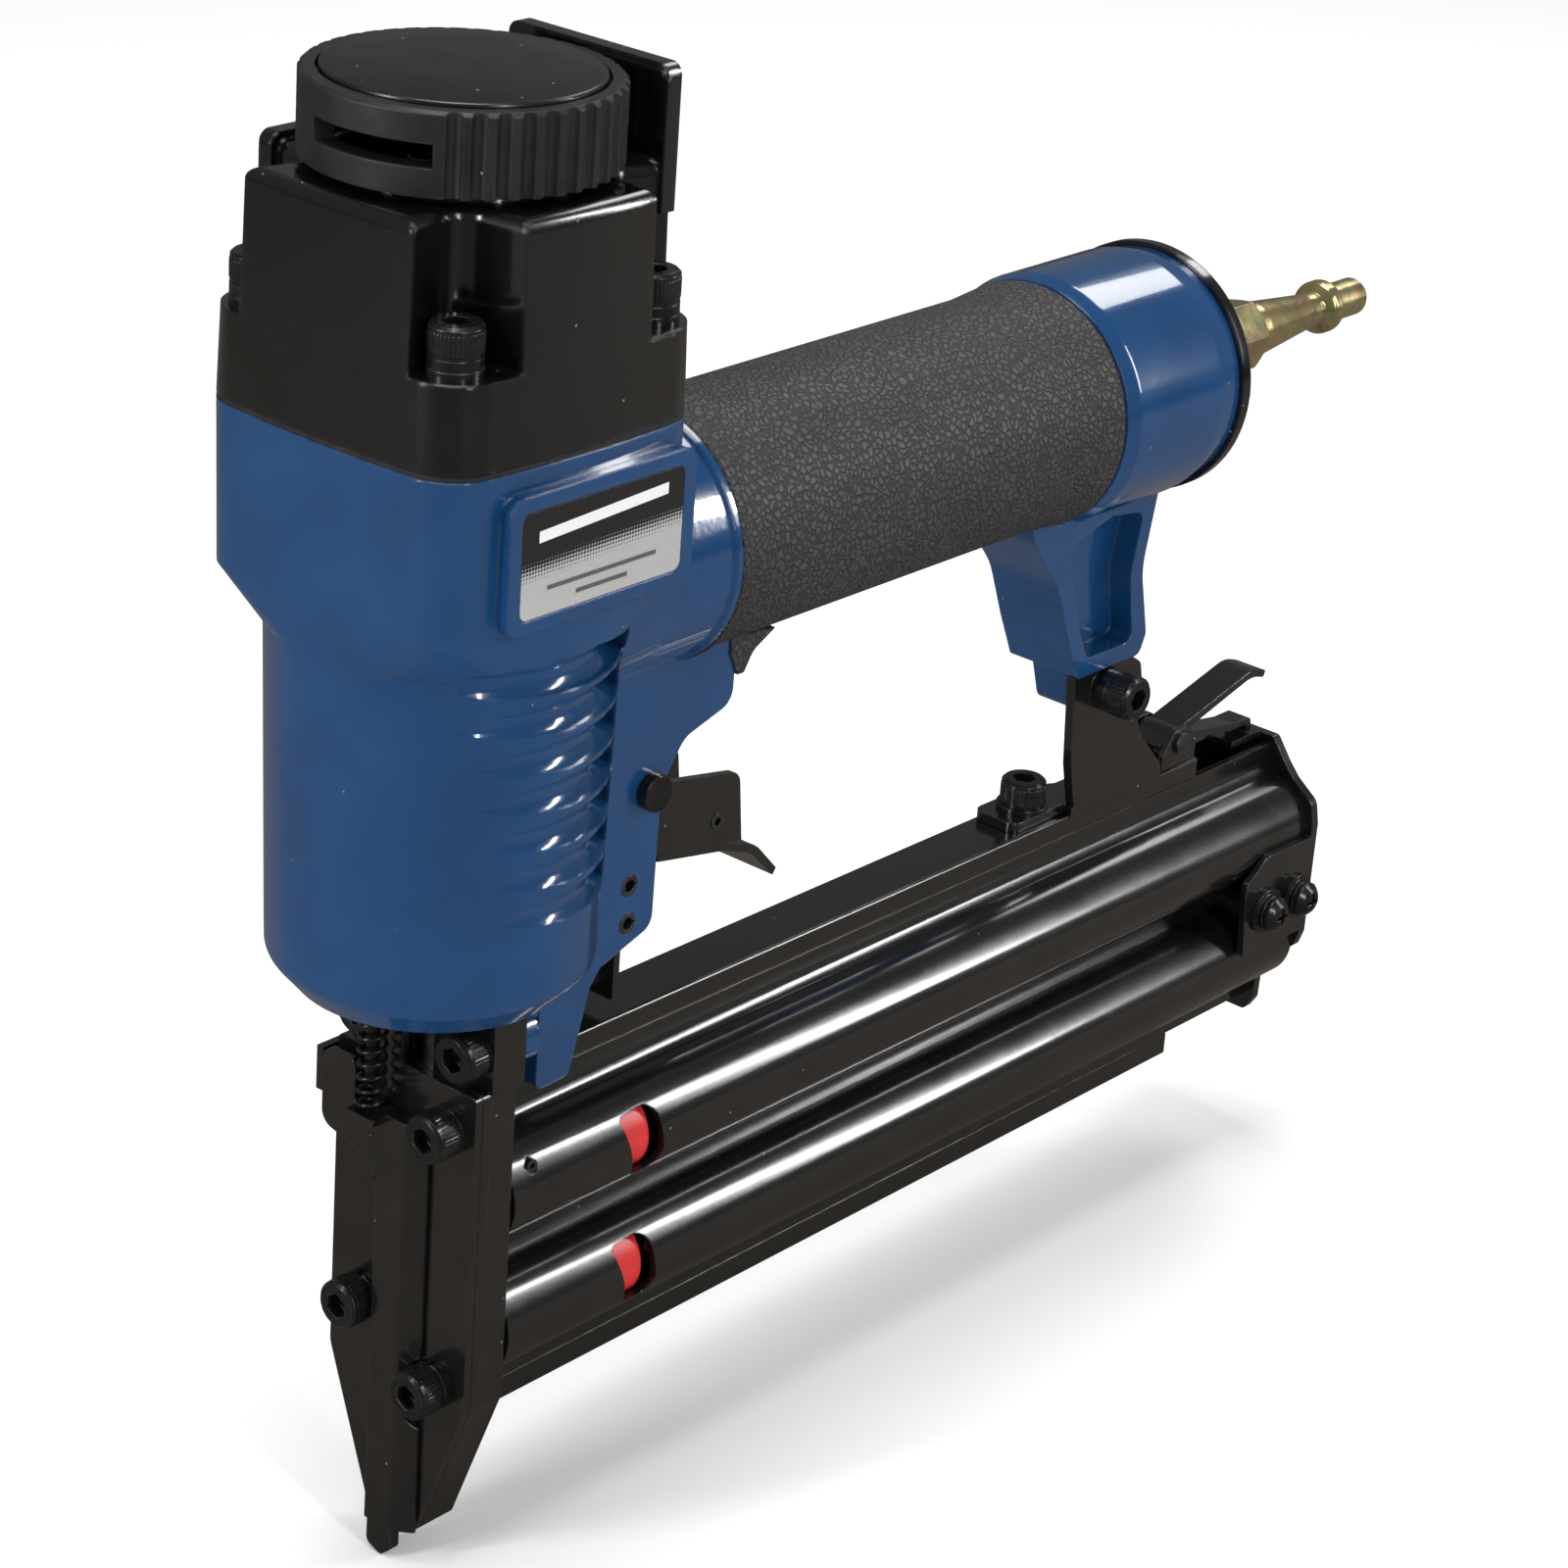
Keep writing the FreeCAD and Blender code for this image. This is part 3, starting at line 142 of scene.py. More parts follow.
def noiseAt(tree, where, scale, detail=3.0, roughness=0.5, distortion=0.0):
    node = place(tree, "ShaderNodeTexNoise", links=[("Vector", where), ("Scale", scale)],
                 Detail=detail, Roughness=roughness, Distortion=distortion)
    return node.outputs["Fac"]


# shared effects, each a group that is built once

def buildEdgeWearAndHighlight():
    # bright where the surface turns sharply, partly worn edges and partly a painted highlight, broken up so that it
    # doesn't run like a drawn line
    look = dict(turnSpan=(0.02, 0.22), gapSpan=(0.42, 0.68))
    tree, given, out = startGroup(
        "edgeWearAndHighlight",
        [("Width", "NodeSocketFloat", 0.0006), ("Breakup", "NodeSocketFloat", 500.0),
         ("Amount", "NodeSocketFloat", 0.5)],
        [("Mask", "NodeSocketFloat")])
    soft = place(tree, "ShaderNodeBevel", samples=4, links=[("Radius", given["Width"])]).outputs["Normal"]
    sharp = place(tree, "ShaderNodeNewGeometry").outputs["Normal"]
    together = place(tree, "ShaderNodeVectorMath", operation="DOT_PRODUCT", links=[(0, soft), (1, sharp)])
    edge = ramp(tree, mathNode(tree, "SUBTRACT", 1.0, together.outputs["Value"]), look["turnSpan"])
    gaps = noiseAt(tree, objectPoint(tree), given["Breakup"], detail=4.0, roughness=0.65)
    broken = ramp(tree, gaps, look["gapSpan"])
    tree.links.new(multiply(tree, multiply(tree, edge, broken), given["Amount"], True), out["Mask"])
    return tree


def buildPaintSkin():
    # the soft waviness of sprayed paint over a casting, with a fine orange peel on top
    look = dict(peelShare=0.15, toneSpan=(0.3, 0.7))
    tree, given, out = startGroup(
        "paintSkin",
        [("Wave", "NodeSocketFloat", 60.0), ("Peel", "NodeSocketFloat", 900.0)],
        [("Height", "NodeSocketFloat"), ("Tone", "NodeSocketFloat")])
    coords = objectPoint(tree)
    wave = noiseAt(tree, coords, given["Wave"], detail=2.0, roughness=0.4)
    peel = noiseAt(tree, coords, given["Peel"], detail=1.0, roughness=0.4)
    tree.links.new(mathNode(tree, "ADD", wave, multiply(tree, peel, look["peelShare"])), out["Height"])
    tree.links.new(ramp(tree, wave, look["toneSpan"]), out["Tone"])
    return tree


def buildDust():
    # a few tiny pale specks caught on the surface
    tree, given, out = startGroup(
        "dust",
        [("Scale", "NodeSocketFloat", 260.0), ("Size", "NodeSocketFloat", 0.06), ("Share", "NodeSocketFloat", 0.2)],
        [("Mask", "NodeSocketFloat")])
    cells = place(tree, "ShaderNodeTexVoronoi", links=[("Vector", objectPoint(tree)), ("Scale", given["Scale"])])
    near = mathNode(tree, "LESS_THAN", cells.outputs["Distance"], given["Size"])
    chosen = place(tree, "ShaderNodeSeparateColor", links=[("Color", cells.outputs["Color"])]).outputs["Red"]
    kept = mathNode(tree, "LESS_THAN", chosen, given["Share"])
    tree.links.new(multiply(tree, near, kept), out["Mask"])
    return tree


def buildHandling():
    # rubbed patches and hair scratches that only show in the gloss
    look = dict(rubSpan=(0.35, 0.75), turn=(0.5, 0.3, 0.7), stretch=(1.0, 0.04, 0.25), scratchSpan=(0.66, 0.72))
    tree, given, out = startGroup(
        "handling",
        [("Patch", "NodeSocketFloat", 45.0), ("Scratch", "NodeSocketFloat", 700.0)],
        [("Rub", "NodeSocketFloat"), ("Scratches", "NodeSocketFloat")])
    coords = objectPoint(tree)
    patch = noiseAt(tree, coords, given["Patch"], detail=5.0, roughness=0.6, distortion=0.4)
    tree.links.new(ramp(tree, patch, look["rubSpan"]), out["Rub"])
    drawn = place(tree, "ShaderNodeMapping", links=[("Vector", coords)], Rotation=look["turn"], Scale=look["stretch"])
    fine = noiseAt(tree, drawn.outputs["Vector"], given["Scratch"], detail=2.0)
    tree.links.new(ramp(tree, fine, look["scratchSpan"]), out["Scratches"])
    return tree


def buildLeatherGrain():
    # short worm-like ridges packed closely, as moulded into rubber grips
    look = dict(driftScale=420.0, ridgeSpan=(0.02, 0.22), poreScale=2600.0, poreSpan=(0.3, 0.7), poreShare=0.18)
    tree, given, out = startGroup(
        "leatherGrain",
        [("Scale", "NodeSocketFloat", 780.0), ("Wander", "NodeSocketFloat", 0.0018)],
        [("Height", "NodeSocketFloat"), ("Valley", "NodeSocketFloat")])
    coords = objectPoint(tree)
    drift = place(tree, "ShaderNodeTexNoise", links=[("Vector", coords)], Scale=look["driftScale"], Detail=2.0)
    centred = place(tree, "ShaderNodeVectorMath", operation="SUBTRACT",
                    links=[(0, drift.outputs["Color"]), (1, (0.5, 0.5, 0.5))])
    push = place(tree, "ShaderNodeVectorMath", operation="SCALE",
                 links=[(0, centred.outputs[0]), ("Scale", given["Wander"])])
    moved = place(tree, "ShaderNodeVectorMath", operation="ADD", links=[(0, coords), (1, push.outputs[0])])
    cells = place(tree, "ShaderNodeTexVoronoi", feature="DISTANCE_TO_EDGE",
                  links=[("Vector", moved.outputs[0]), ("Scale", given["Scale"])])
    ridge = ramp(tree, cells.outputs["Distance"], look["ridgeSpan"])
    pores = ramp(tree, noiseAt(tree, coords, look["poreScale"], detail=2.0), look["poreSpan"])
    tree.links.new(mathNode(tree, "ADD", ridge, multiply(tree, pores, look["poreShare"])), out["Height"])
    tree.links.new(mathNode(tree, "SUBTRACT", 1.0, ridge), out["Valley"])
    return tree


def buildBrushed():
    # fine turning lines; Stretch draws them out across the direction in which it is small
    tree, given, out = startGroup(
        "brushed",
        [("Stretch", "NodeSocketVector", (0.02, 1.0, 1.0)), ("Scale", "NodeSocketFloat", 900.0)],
        [("Height", "NodeSocketFloat")])
    lines = place(tree, "ShaderNodeVectorMath", operation="MULTIPLY",
                  links=[(0, objectPoint(tree)), (1, given["Stretch"])])
    tree.links.new(noiseAt(tree, lines.outputs[0], given["Scale"], roughness=0.6), out["Height"])
    return tree


edgeWearAndHighlight = buildEdgeWearAndHighlight()
paintSkin = buildPaintSkin()
dust = buildDust()
handling = buildHandling()
leatherGrain = buildLeatherGrain()
brushed = buildBrushed()
print("shared effects built")


def useGroup(tree, group, **values):
    node = tree.nodes.new("ShaderNodeGroup")
    node.node_tree = group
    for name, value in values.items():
        node.inputs[name.replace("_", " ")].default_value = value
    return node


def startMaterial(name, **shader):
    material = bpy.data.materials.new(name)
    material.use_nodes = True
    tree = material.node_tree
    surface = tree.nodes["Principled BSDF"]
    for label, value in shader.items():
        surface.inputs[label.replace("_", " ")].default_value = value
    return material, tree, surface


def finishNormal(tree, surface, height, look):
    # a small rounding of every corner, with the surface's own relief on top
    soft = place(tree, "ShaderNodeBevel", samples=4, Radius=look["rounding"]).outputs["Normal"]
    relief = place(tree, "ShaderNodeBump", links=[("Height", height), ("Normal", soft)],
                   Strength=look["relief"], Distance=look["depth"])
    tree.links.new(relief.outputs["Normal"], surface.inputs["Normal"])


# metals and plastics that share one build, each with its own values

finishes = {
    "bluePaint": dict(
        colour=(0.0055, 0.047, 0.142), second=(0.0042, 0.038, 0.118), wornAndLitEdge=(0.30, 0.36, 0.44), wearAndHighlight=0.12,
        metal=0.0, rough=0.12, roughSpread=0.05, shine=0.55, coat=0.9, coatRough=0.035, wave=70.0,
        peel=1100.0, relief=0.20, depth=0.00035, rounding=0.0007, dustShare=0.10),
    "blackEnamel": dict(
        colour=(0.0022, 0.0022, 0.0026), second=(0.0035, 0.0035, 0.004), wornAndLitEdge=(0.10, 0.10, 0.11), wearAndHighlight=0.10,
        metal=0.0, rough=0.11, roughSpread=0.05, shine=0.6, coat=0.7, coatRough=0.05, wave=90.0,
        peel=1300.0, relief=0.22, depth=0.0003, rounding=0.0011, dustShare=0.22),
    "blackenedSteel": dict(
        colour=(0.0050, 0.0046, 0.0046), second=(0.0085, 0.0075, 0.0072), wornAndLitEdge=(0.15, 0.145, 0.14),
        wearAndHighlight=0.28, metal=0.15, rough=0.17, roughSpread=0.07, shine=0.8, coat=0.6, coatRough=0.10,
        wave=120.0, peel=2200.0, relief=0.18, depth=0.0002, rounding=0.0004, dustShare=0.20),
    "blackOxide": dict(
        colour=(0.020, 0.019, 0.019), second=(0.030, 0.029, 0.028), wornAndLitEdge=(0.30, 0.30, 0.30), wearAndHighlight=0.6,
        metal=0.75, rough=0.24, roughSpread=0.12, shine=0.5, coat=0.3, coatRough=0.12, wave=300.0,
        peel=3000.0, relief=0.3, depth=0.00012, rounding=0.0003, dustShare=0.15),
    "springSteel": dict(
        colour=(0.16, 0.16, 0.165), second=(0.10, 0.10, 0.105), wornAndLitEdge=(0.55, 0.55, 0.56), wearAndHighlight=0.5,
        metal=0.95, rough=0.28, roughSpread=0.12, shine=0.5, coat=0.0, coatRough=0.2, wave=400.0,
        peel=3500.0, relief=0.25, depth=0.0001, rounding=0.00015, dustShare=0.08),
    "groundSteel": dict(
        colour=(0.56, 0.56, 0.57), second=(0.46, 0.46, 0.47), wornAndLitEdge=(0.75, 0.75, 0.76), wearAndHighlight=0.4, metal=1.0,
        rough=0.22, roughSpread=0.10, shine=0.5, coat=0.0, coatRough=0.2, wave=500.0, peel=4000.0,
        relief=0.2, depth=0.00008, rounding=0.00015, dustShare=0.05),
    "anodisedAlloy": dict(
        colour=(0.60, 0.61, 0.63), second=(0.52, 0.53, 0.55), wornAndLitEdge=(0.80, 0.80, 0.82), wearAndHighlight=0.3, metal=0.95,
        rough=0.34, roughSpread=0.10, shine=0.5, coat=0.0, coatRough=0.2, wave=300.0, peel=3000.0,
        relief=0.2, depth=0.0001, rounding=0.0003, dustShare=0.05),
    "turnedBrass": dict(
        colour=(0.62, 0.42, 0.16), second=(0.52, 0.34, 0.12), wornAndLitEdge=(0.85, 0.68, 0.38), wearAndHighlight=0.4, metal=1.0,
        rough=0.24, roughSpread=0.10, shine=0.5, coat=0.0, coatRough=0.2, wave=300.0, peel=3000.0,
        relief=0.2, depth=0.0001, rounding=0.0002, dustShare=0.05),
    "satinPlastic": dict(
        colour=(0.008, 0.008, 0.009), second=(0.013, 0.013, 0.0135), wornAndLitEdge=(0.07, 0.07, 0.075), wearAndHighlight=0.35,
        metal=0.0, rough=0.40, roughSpread=0.10, shine=0.5, coat=0.0, coatRough=0.2, wave=260.0,
        peel=2600.0, relief=0.45, depth=0.00018, rounding=0.0004, dustShare=0.32),
    "discPlastic": dict(
        colour=(0.006, 0.006, 0.0065), second=(0.009, 0.009, 0.0095), wornAndLitEdge=(0.06, 0.06, 0.06), wearAndHighlight=0.2,
        metal=0.0, rough=0.24, roughSpread=0.08, shine=0.5, coat=0.15, coatRough=0.15, wave=180.0,
        peel=2600.0, relief=0.2, depth=0.00012, rounding=0.0004, dustShare=0.5),
    "redPlastic": dict(
        colour=(0.62, 0.022, 0.022), second=(0.50, 0.016, 0.018), wornAndLitEdge=(0.80, 0.25, 0.22), wearAndHighlight=0.25,
        metal=0.0, rough=0.34, roughSpread=0.08, shine=0.5, coat=0.1, coatRough=0.2, wave=220.0,
        peel=2400.0, relief=0.25, depth=0.00012, rounding=0.0004, dustShare=0.08),
    "whiteNylon": dict(
        colour=(0.74, 0.73, 0.68), second=(0.68, 0.67, 0.62), wornAndLitEdge=(0.85, 0.85, 0.82), wearAndHighlight=0.2, metal=0.0,
        rough=0.45, roughSpread=0.08, shine=0.5, coat=0.0, coatRough=0.2, wave=220.0, peel=2400.0,
        relief=0.25, depth=0.00012, rounding=0.0004, dustShare=0.05),
    "amberUrethane": dict(
        colour=(0.50, 0.30, 0.07), second=(0.42, 0.25, 0.06), wornAndLitEdge=(0.65, 0.45, 0.16), wearAndHighlight=0.2, metal=0.0,
        rough=0.36, roughSpread=0.08, shine=0.5, coat=0.0, coatRough=0.2, wave=220.0, peel=2400.0,
        relief=0.25, depth=0.00012, rounding=0.0006, dustShare=0.05),
    "sealRubber": dict(
        colour=(0.010, 0.010, 0.010), second=(0.016, 0.016, 0.016), wornAndLitEdge=(0.05, 0.05, 0.05), wearAndHighlight=0.2,
        metal=0.0, rough=0.55, roughSpread=0.10, shine=0.5, coat=0.0, coatRough=0.2, wave=300.0,
        peel=2600.0, relief=0.3, depth=0.0001, rounding=0.0002, dustShare=0.05),
    "gasketPaper": dict(
        colour=(0.010, 0.010, 0.011), second=(0.020, 0.019, 0.018), wornAndLitEdge=(0.12, 0.11, 0.10), wearAndHighlight=0.3,
        metal=0.0, rough=0.75, roughSpread=0.10, shine=0.5, coat=0.0, coatRough=0.2, wave=500.0,
        peel=2600.0, relief=0.6, depth=0.0001, rounding=0.0001, dustShare=0.05),
}

# what they have in common; the width of the lighter edges, worn and painted highlight, counts in corner roundings
common = dict(dustColour=(0.55, 0.54, 0.52), dustStrength=0.30, scratchShare=0.8, wornAndLitWidth=1.5)


def makeFinish(name):
    # colour shifts softly with the skin, edges are rubbed and carry a painted highlight, gloss changes where it was
    # handled
    look = finishes[name]
    material, tree, surface = startMaterial(name, Metallic=look["metal"], Specular_IOR_Level=look["shine"],
                                            Coat_Weight=look["coat"], Coat_Roughness=look["coatRough"])
    skin = useGroup(tree, paintSkin, Wave=look["wave"], Peel=look["peel"]).outputs
    wearAndHighlight = useGroup(tree, edgeWearAndHighlight, Width=look["rounding"] * common["wornAndLitWidth"], Amount=look["wearAndHighlight"]).outputs["Mask"]
    marks = useGroup(tree, handling).outputs
    specks = useGroup(tree, dust, Share=look["dustShare"]).outputs["Mask"]
    colour = mixColour(tree, skin["Tone"], look["colour"], look["second"])
    # lighter edges: partly wear, partly a painted highlight
    colour = mixColour(tree, wearAndHighlight, colour, look["wornAndLitEdge"])
    colour = mixColour(tree, multiply(tree, specks, common["dustStrength"]), colour, common["dustColour"])
    tree.links.new(colour, surface.inputs["Base Color"])
    rub = multiply(tree, marks["Rub"], look["roughSpread"])
    scratch = multiply(tree, marks["Scratches"], look["roughSpread"] * common["scratchShare"])
    gloss = mathNode(tree, "ADD", mathNode(tree, "ADD", rub, scratch), look["rough"], True)
    tree.links.new(gloss, surface.inputs["Roughness"])
    finishNormal(tree, surface, skin["Height"], look)
    return material


# the three finishes with their own build

grip = dict(
    colour=(0.040, 0.037, 0.037), valleyShade=(0.014, 0.013, 0.013), dry=(0.062, 0.058, 0.058), valleyShadeShare=0.85,
    rough=0.50, valleyRough=0.25, relief=0.8, depth=0.0004, rounding=0.0005, coat=0.06, coatRough=0.45,
    patch=28.0, dustColour=(0.4, 0.4, 0.39), dustStrength=0.25, dustShare=0.2, dustSize=0.05)


def makeGripRubber():
    material, tree, surface = startMaterial("gripRubber", Coat_Weight=grip["coat"], Coat_Roughness=grip["coatRough"])
    grain = useGroup(tree, leatherGrain).outputs
    rub = useGroup(tree, handling, Patch=grip["patch"]).outputs["Rub"]
    specks = useGroup(tree, dust, Share=grip["dustShare"], Size=grip["dustSize"]).outputs["Mask"]
    colour = mixColour(tree, rub, grip["colour"], grip["dry"])
    # painted shade: the grain's valleys are darkened towards a deep colour
    colour = mixColour(tree, multiply(tree, grain["Valley"], grip["valleyShadeShare"]), colour, grip["valleyShade"])
    colour = mixColour(tree, multiply(tree, specks, grip["dustStrength"]), colour, grip["dustColour"])
    tree.links.new(colour, surface.inputs["Base Color"])
    rough = mathNode(tree, "ADD", multiply(tree, grain["Valley"], grip["valleyRough"]), grip["rough"])
    tree.links.new(rough, surface.inputs["Roughness"])
    finishNormal(tree, surface, grain["Height"], grip)
    return material


zinc = dict(
    gold=(0.74, 0.58, 0.28), olive=(0.40, 0.46, 0.24), rose=(0.72, 0.36, 0.32), wornAndLitEdge=(0.80, 0.77, 0.68),
    oliveScale=150.0, oliveSpan=(0.42, 0.66), roseScale=230.0, roseSpan=(0.50, 0.70), roseShare=0.75,
    wearAndHighlight=0.4, wearAndLitWidth=0.0004, rough=0.18, roughSpread=0.14, patch=140.0, metal=0.95, coat=0.1, coatRough=0.15,
    turning=(1.0, 0.05, 0.05), turningScale=1400.0, relief=0.25, depth=0.00008, rounding=0.00025)


def makeYellowZinc():
    # passivated zinc drifts between gold, green and rose
    material, tree, surface = startMaterial("yellowZinc", Metallic=zinc["metal"], Coat_Weight=zinc["coat"],
                                            Coat_Roughness=zinc["coatRough"])
    coords = objectPoint(tree)
    green = noiseAt(tree, coords, zinc["oliveScale"], roughness=0.6, distortion=1.2)
    pink = noiseAt(tree, coords, zinc["roseScale"], roughness=0.6, distortion=1.8)
    wearAndHighlight = useGroup(tree, edgeWearAndHighlight, Width=zinc["wearAndLitWidth"], Amount=zinc["wearAndHighlight"]).outputs["Mask"]
    rub = useGroup(tree, handling, Patch=zinc["patch"]).outputs["Rub"]
    colour = mixColour(tree, ramp(tree, green, zinc["oliveSpan"]), zinc["gold"], zinc["olive"])
    rosy = multiply(tree, ramp(tree, pink, zinc["roseSpan"]), zinc["roseShare"])
    colour = mixColour(tree, rosy, colour, zinc["rose"])
    # lighter edges: partly wear, partly a painted highlight
    colour = mixColour(tree, wearAndHighlight, colour, zinc["wornAndLitEdge"])
    tree.links.new(colour, surface.inputs["Base Color"])
    rough = mathNode(tree, "ADD", multiply(tree, rub, zinc["roughSpread"]), zinc["rough"])
    tree.links.new(rough, surface.inputs["Roughness"])
    turning = useGroup(tree, brushed, Stretch=zinc["turning"], Scale=zinc["turningScale"]).outputs["Height"]
    finishNormal(tree, surface, turning, zinc)
    return material


plate = dict(
    pale=(0.60, 0.61, 0.62), bright=(0.74, 0.745, 0.75), dark=(0.008, 0.008, 0.009), title=(0.70, 0.71, 0.72),
    line=(0.16, 0.16, 0.17), lean=0.10, dotPitch=0.00062, dotSpan=(0.30, 0.55), dotSize=0.72, bandStart=0.55,
    titleLevel=0.74, titleHalf=0.055, titleSpan=(0.10, 0.90), lineHalf=0.022,
    lines=((0.25, (0.16, 0.84)), (0.13, (0.34, 0.66))), sheenScale=90.0, patch=120.0, rough=0.22, roughSpread=0.12,
    metal=0.55, coat=0.5, coatRough=0.08, relief=0.05, depth=0.00002, rounding=0.00015)


def dotField(tree, first, second, pitch):
    # how far each point is from the middle of its cell, in cells
    squares = []
    for part in (first, second):
        offset = mathNode(tree, "SUBTRACT", mathNode(tree, "FRACT", mathNode(tree, "DIVIDE", part, pitch)), 0.5)
        squares.append(multiply(tree, offset, offset))
    return mathNode(tree, "SQRT", mathNode(tree, "ADD", *squares))


def makePrintedPlate(low, high):
    # a silvery label: a dark band above, fading into the pale part through rows of dots; no lettering
    material, tree, surface = startMaterial("printedPlate", Coat_Weight=plate["coat"],
                                            Coat_Roughness=plate["coatRough"])
    coords = objectPoint(tree)
    parts = place(tree, "ShaderNodeSeparateXYZ", links=[("Vector", coords)]).outputs
    across = ramp(tree, parts["X"], (low.x, high.x))
    up = ramp(tree, parts["Z"], (low.z, high.z))
    tilt = mathNode(tree, "SUBTRACT", up, multiply(tree, across, plate["lean"]))
    size = multiply(tree, ramp(tree, tilt, plate["dotSpan"]), plate["dotSize"])
    dots = mathNode(tree, "LESS_THAN", dotField(tree, parts["X"], parts["Z"], plate["dotPitch"]), size)
    band = mathNode(tree, "MAXIMUM", dots, mathNode(tree, "GREATER_THAN", tilt, plate["bandStart"]))
    sheen = noiseAt(tree, coords, plate["sheenScale"], detail=2.0)
    pale = mixColour(tree, sheen, plate["pale"], plate["bright"])
    colour = mixColour(tree, band, pale, plate["dark"])
    bars = [(tilt, plate["titleLevel"], plate["titleHalf"], plate["titleSpan"], plate["title"])]
    bars += [(up, level, plate["lineHalf"], span, plate["line"]) for level, span in plate["lines"]]
    for height, level, half, span, ink in bars:
        near = mathNode(tree, "ABSOLUTE", mathNode(tree, "SUBTRACT", height, level))
        bar = multiply(tree, mathNode(tree, "LESS_THAN", near, half), between(tree, across, span))
        colour = mixColour(tree, bar, colour, ink)
    tree.links.new(colour, surface.inputs["Base Color"])
    rub = useGroup(tree, handling, Patch=plate["patch"]).outputs["Rub"]
    rough = mathNode(tree, "ADD", multiply(tree, rub, plate["roughSpread"]), plate["rough"])
    tree.links.new(rough, surface.inputs["Roughness"])
    metal = multiply(tree, mathNode(tree, "SUBTRACT", 1.0, band), plate["metal"])
    tree.links.new(metal, surface.inputs["Metallic"])
    finishNormal(tree, surface, sheen, plate)
    return material


plateLow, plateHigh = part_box("nameplates")
materials = {name: makeFinish(name) for name in finishes}
materials["gripRubber"] = makeGripRubber()
materials["yellowZinc"] = makeYellowZinc()
materials["printedPlate"] = makePrintedPlate(plateLow, plateHigh)
print("materials built:", len(materials))


# which finish each CAD node wears

wears = {
    "bluePaint": ["body_casting"],
    "blackEnamel": ["cylinder_cap", "handle_end_cap"],
    "blackenedSteel": [
        "trigger", "nose_base_plate", "driver_guide_plate", "nose_cover", "safety_contact", "safety_link",
        "magazine_shell_right", "magazine_shell_left", "magazine_track", "magazine_end_plate", "rear_bracket",
        "latch_bracket", "latch_lever"],
    "blackOxide": [
        "cap_washers", "cap_spring_washers", "cap_screws", "deflector_screw", "trigger_pivot_pin", "trigger_lever",
        "spring_guide_pin", "nose_washers", "nose_screws", "safety_spring", "end_plate_screws", "end_plate_washers",
        "bracket_screw", "rail_screw", "rail_washer"],
    "springSteel": [
        "head_valve_spring", "trigger_roll_pin", "pivot_clip", "guide_roll_pins", "stem_spring",
        "magazine_roll_pins", "pusher_spring", "latch_pin"],
    "groundSteel": ["driver_blade", "valve_stem", "pusher_guide_rod"],
    "anodisedAlloy": ["cylinder_liner", "drive_piston"],
    "turnedBrass": ["trigger_valve_body"],
    "satinPlastic": ["exhaust_deflector"],
    "discPlastic": ["deflector_disc"],
    "redPlastic": ["nail_pusher"],
    "whiteNylon": ["piston_ring", "head_valve"],
    "amberUrethane": ["piston_bumper"],
    "sealRubber": ["liner_orings", "end_cap_oring", "valve_orings", "head_valve_oring"],
    "gasketPaper": ["cap_gasket"],
    "gripRubber": ["grip_sleeve"],
    "yellowZinc": ["air_plug"],
    "printedPlate": ["nameplates"],
}

for finish, members in wears.items():
    for member in members:
        skins = nodes[member].data.materials
        skins.clear()
        skins.append(materials[finish])
print("finishes assigned")


# each coil spring that a joint deforms gets a mesh of its own; nothing shortens it here

def shortenSprings():
    for joint in frame["record"]["behaviour"]["joints"]:
        for soft in joint.get("deforming_nodes", []):
            low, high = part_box(soft["node"])
            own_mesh(nodes[soft["node"]])


shortenSprings()


# knurling round the heads of the socket screws, which the solids leave out

knurls = dict(teeth=40, stand=0.00011, sunk=0.00004, startShare=0.14, endShare=0.80, bevel=0.0002, headRatio=0.85,
              join=0.000002)
screwHeads = {    # the way each kind of head points, and its body
    "cap_screws": ((0, 0, 1), "frame"),
    "rail_screw": ((0, 0, 1), "frame"),
    "nose_screws": ((-1, 0, 0), "frame"),
    "bracket_screw": ((0, -1, 0), "frame"),
}


def loosePieces(node):
    # the low and high corner of each separate screw within one node, in a fixed order
    build = bmesh.new()
    build.from_mesh(nodes[node].data)
    bmesh.ops.remove_doubles(build, verts=build.verts, dist=knurls["join"])
    build.verts.index_update()
    seen = set()
    found = []
    for first in build.verts:
        if first.index in seen:
            continue
        seen.add(first.index)
        reached = [first]
        for corner in reached:    # grows as neighbours are reached
            for edge in corner.link_edges:
                other = edge.other_vert(corner)
                if other.index not in seen:
                    seen.add(other.index)
                    reached.append(other)
        found.append([Vector(pick(corner.co[i] for corner in reached) for i in range(3)) for pick in (min, max)])
    build.free()
    return found


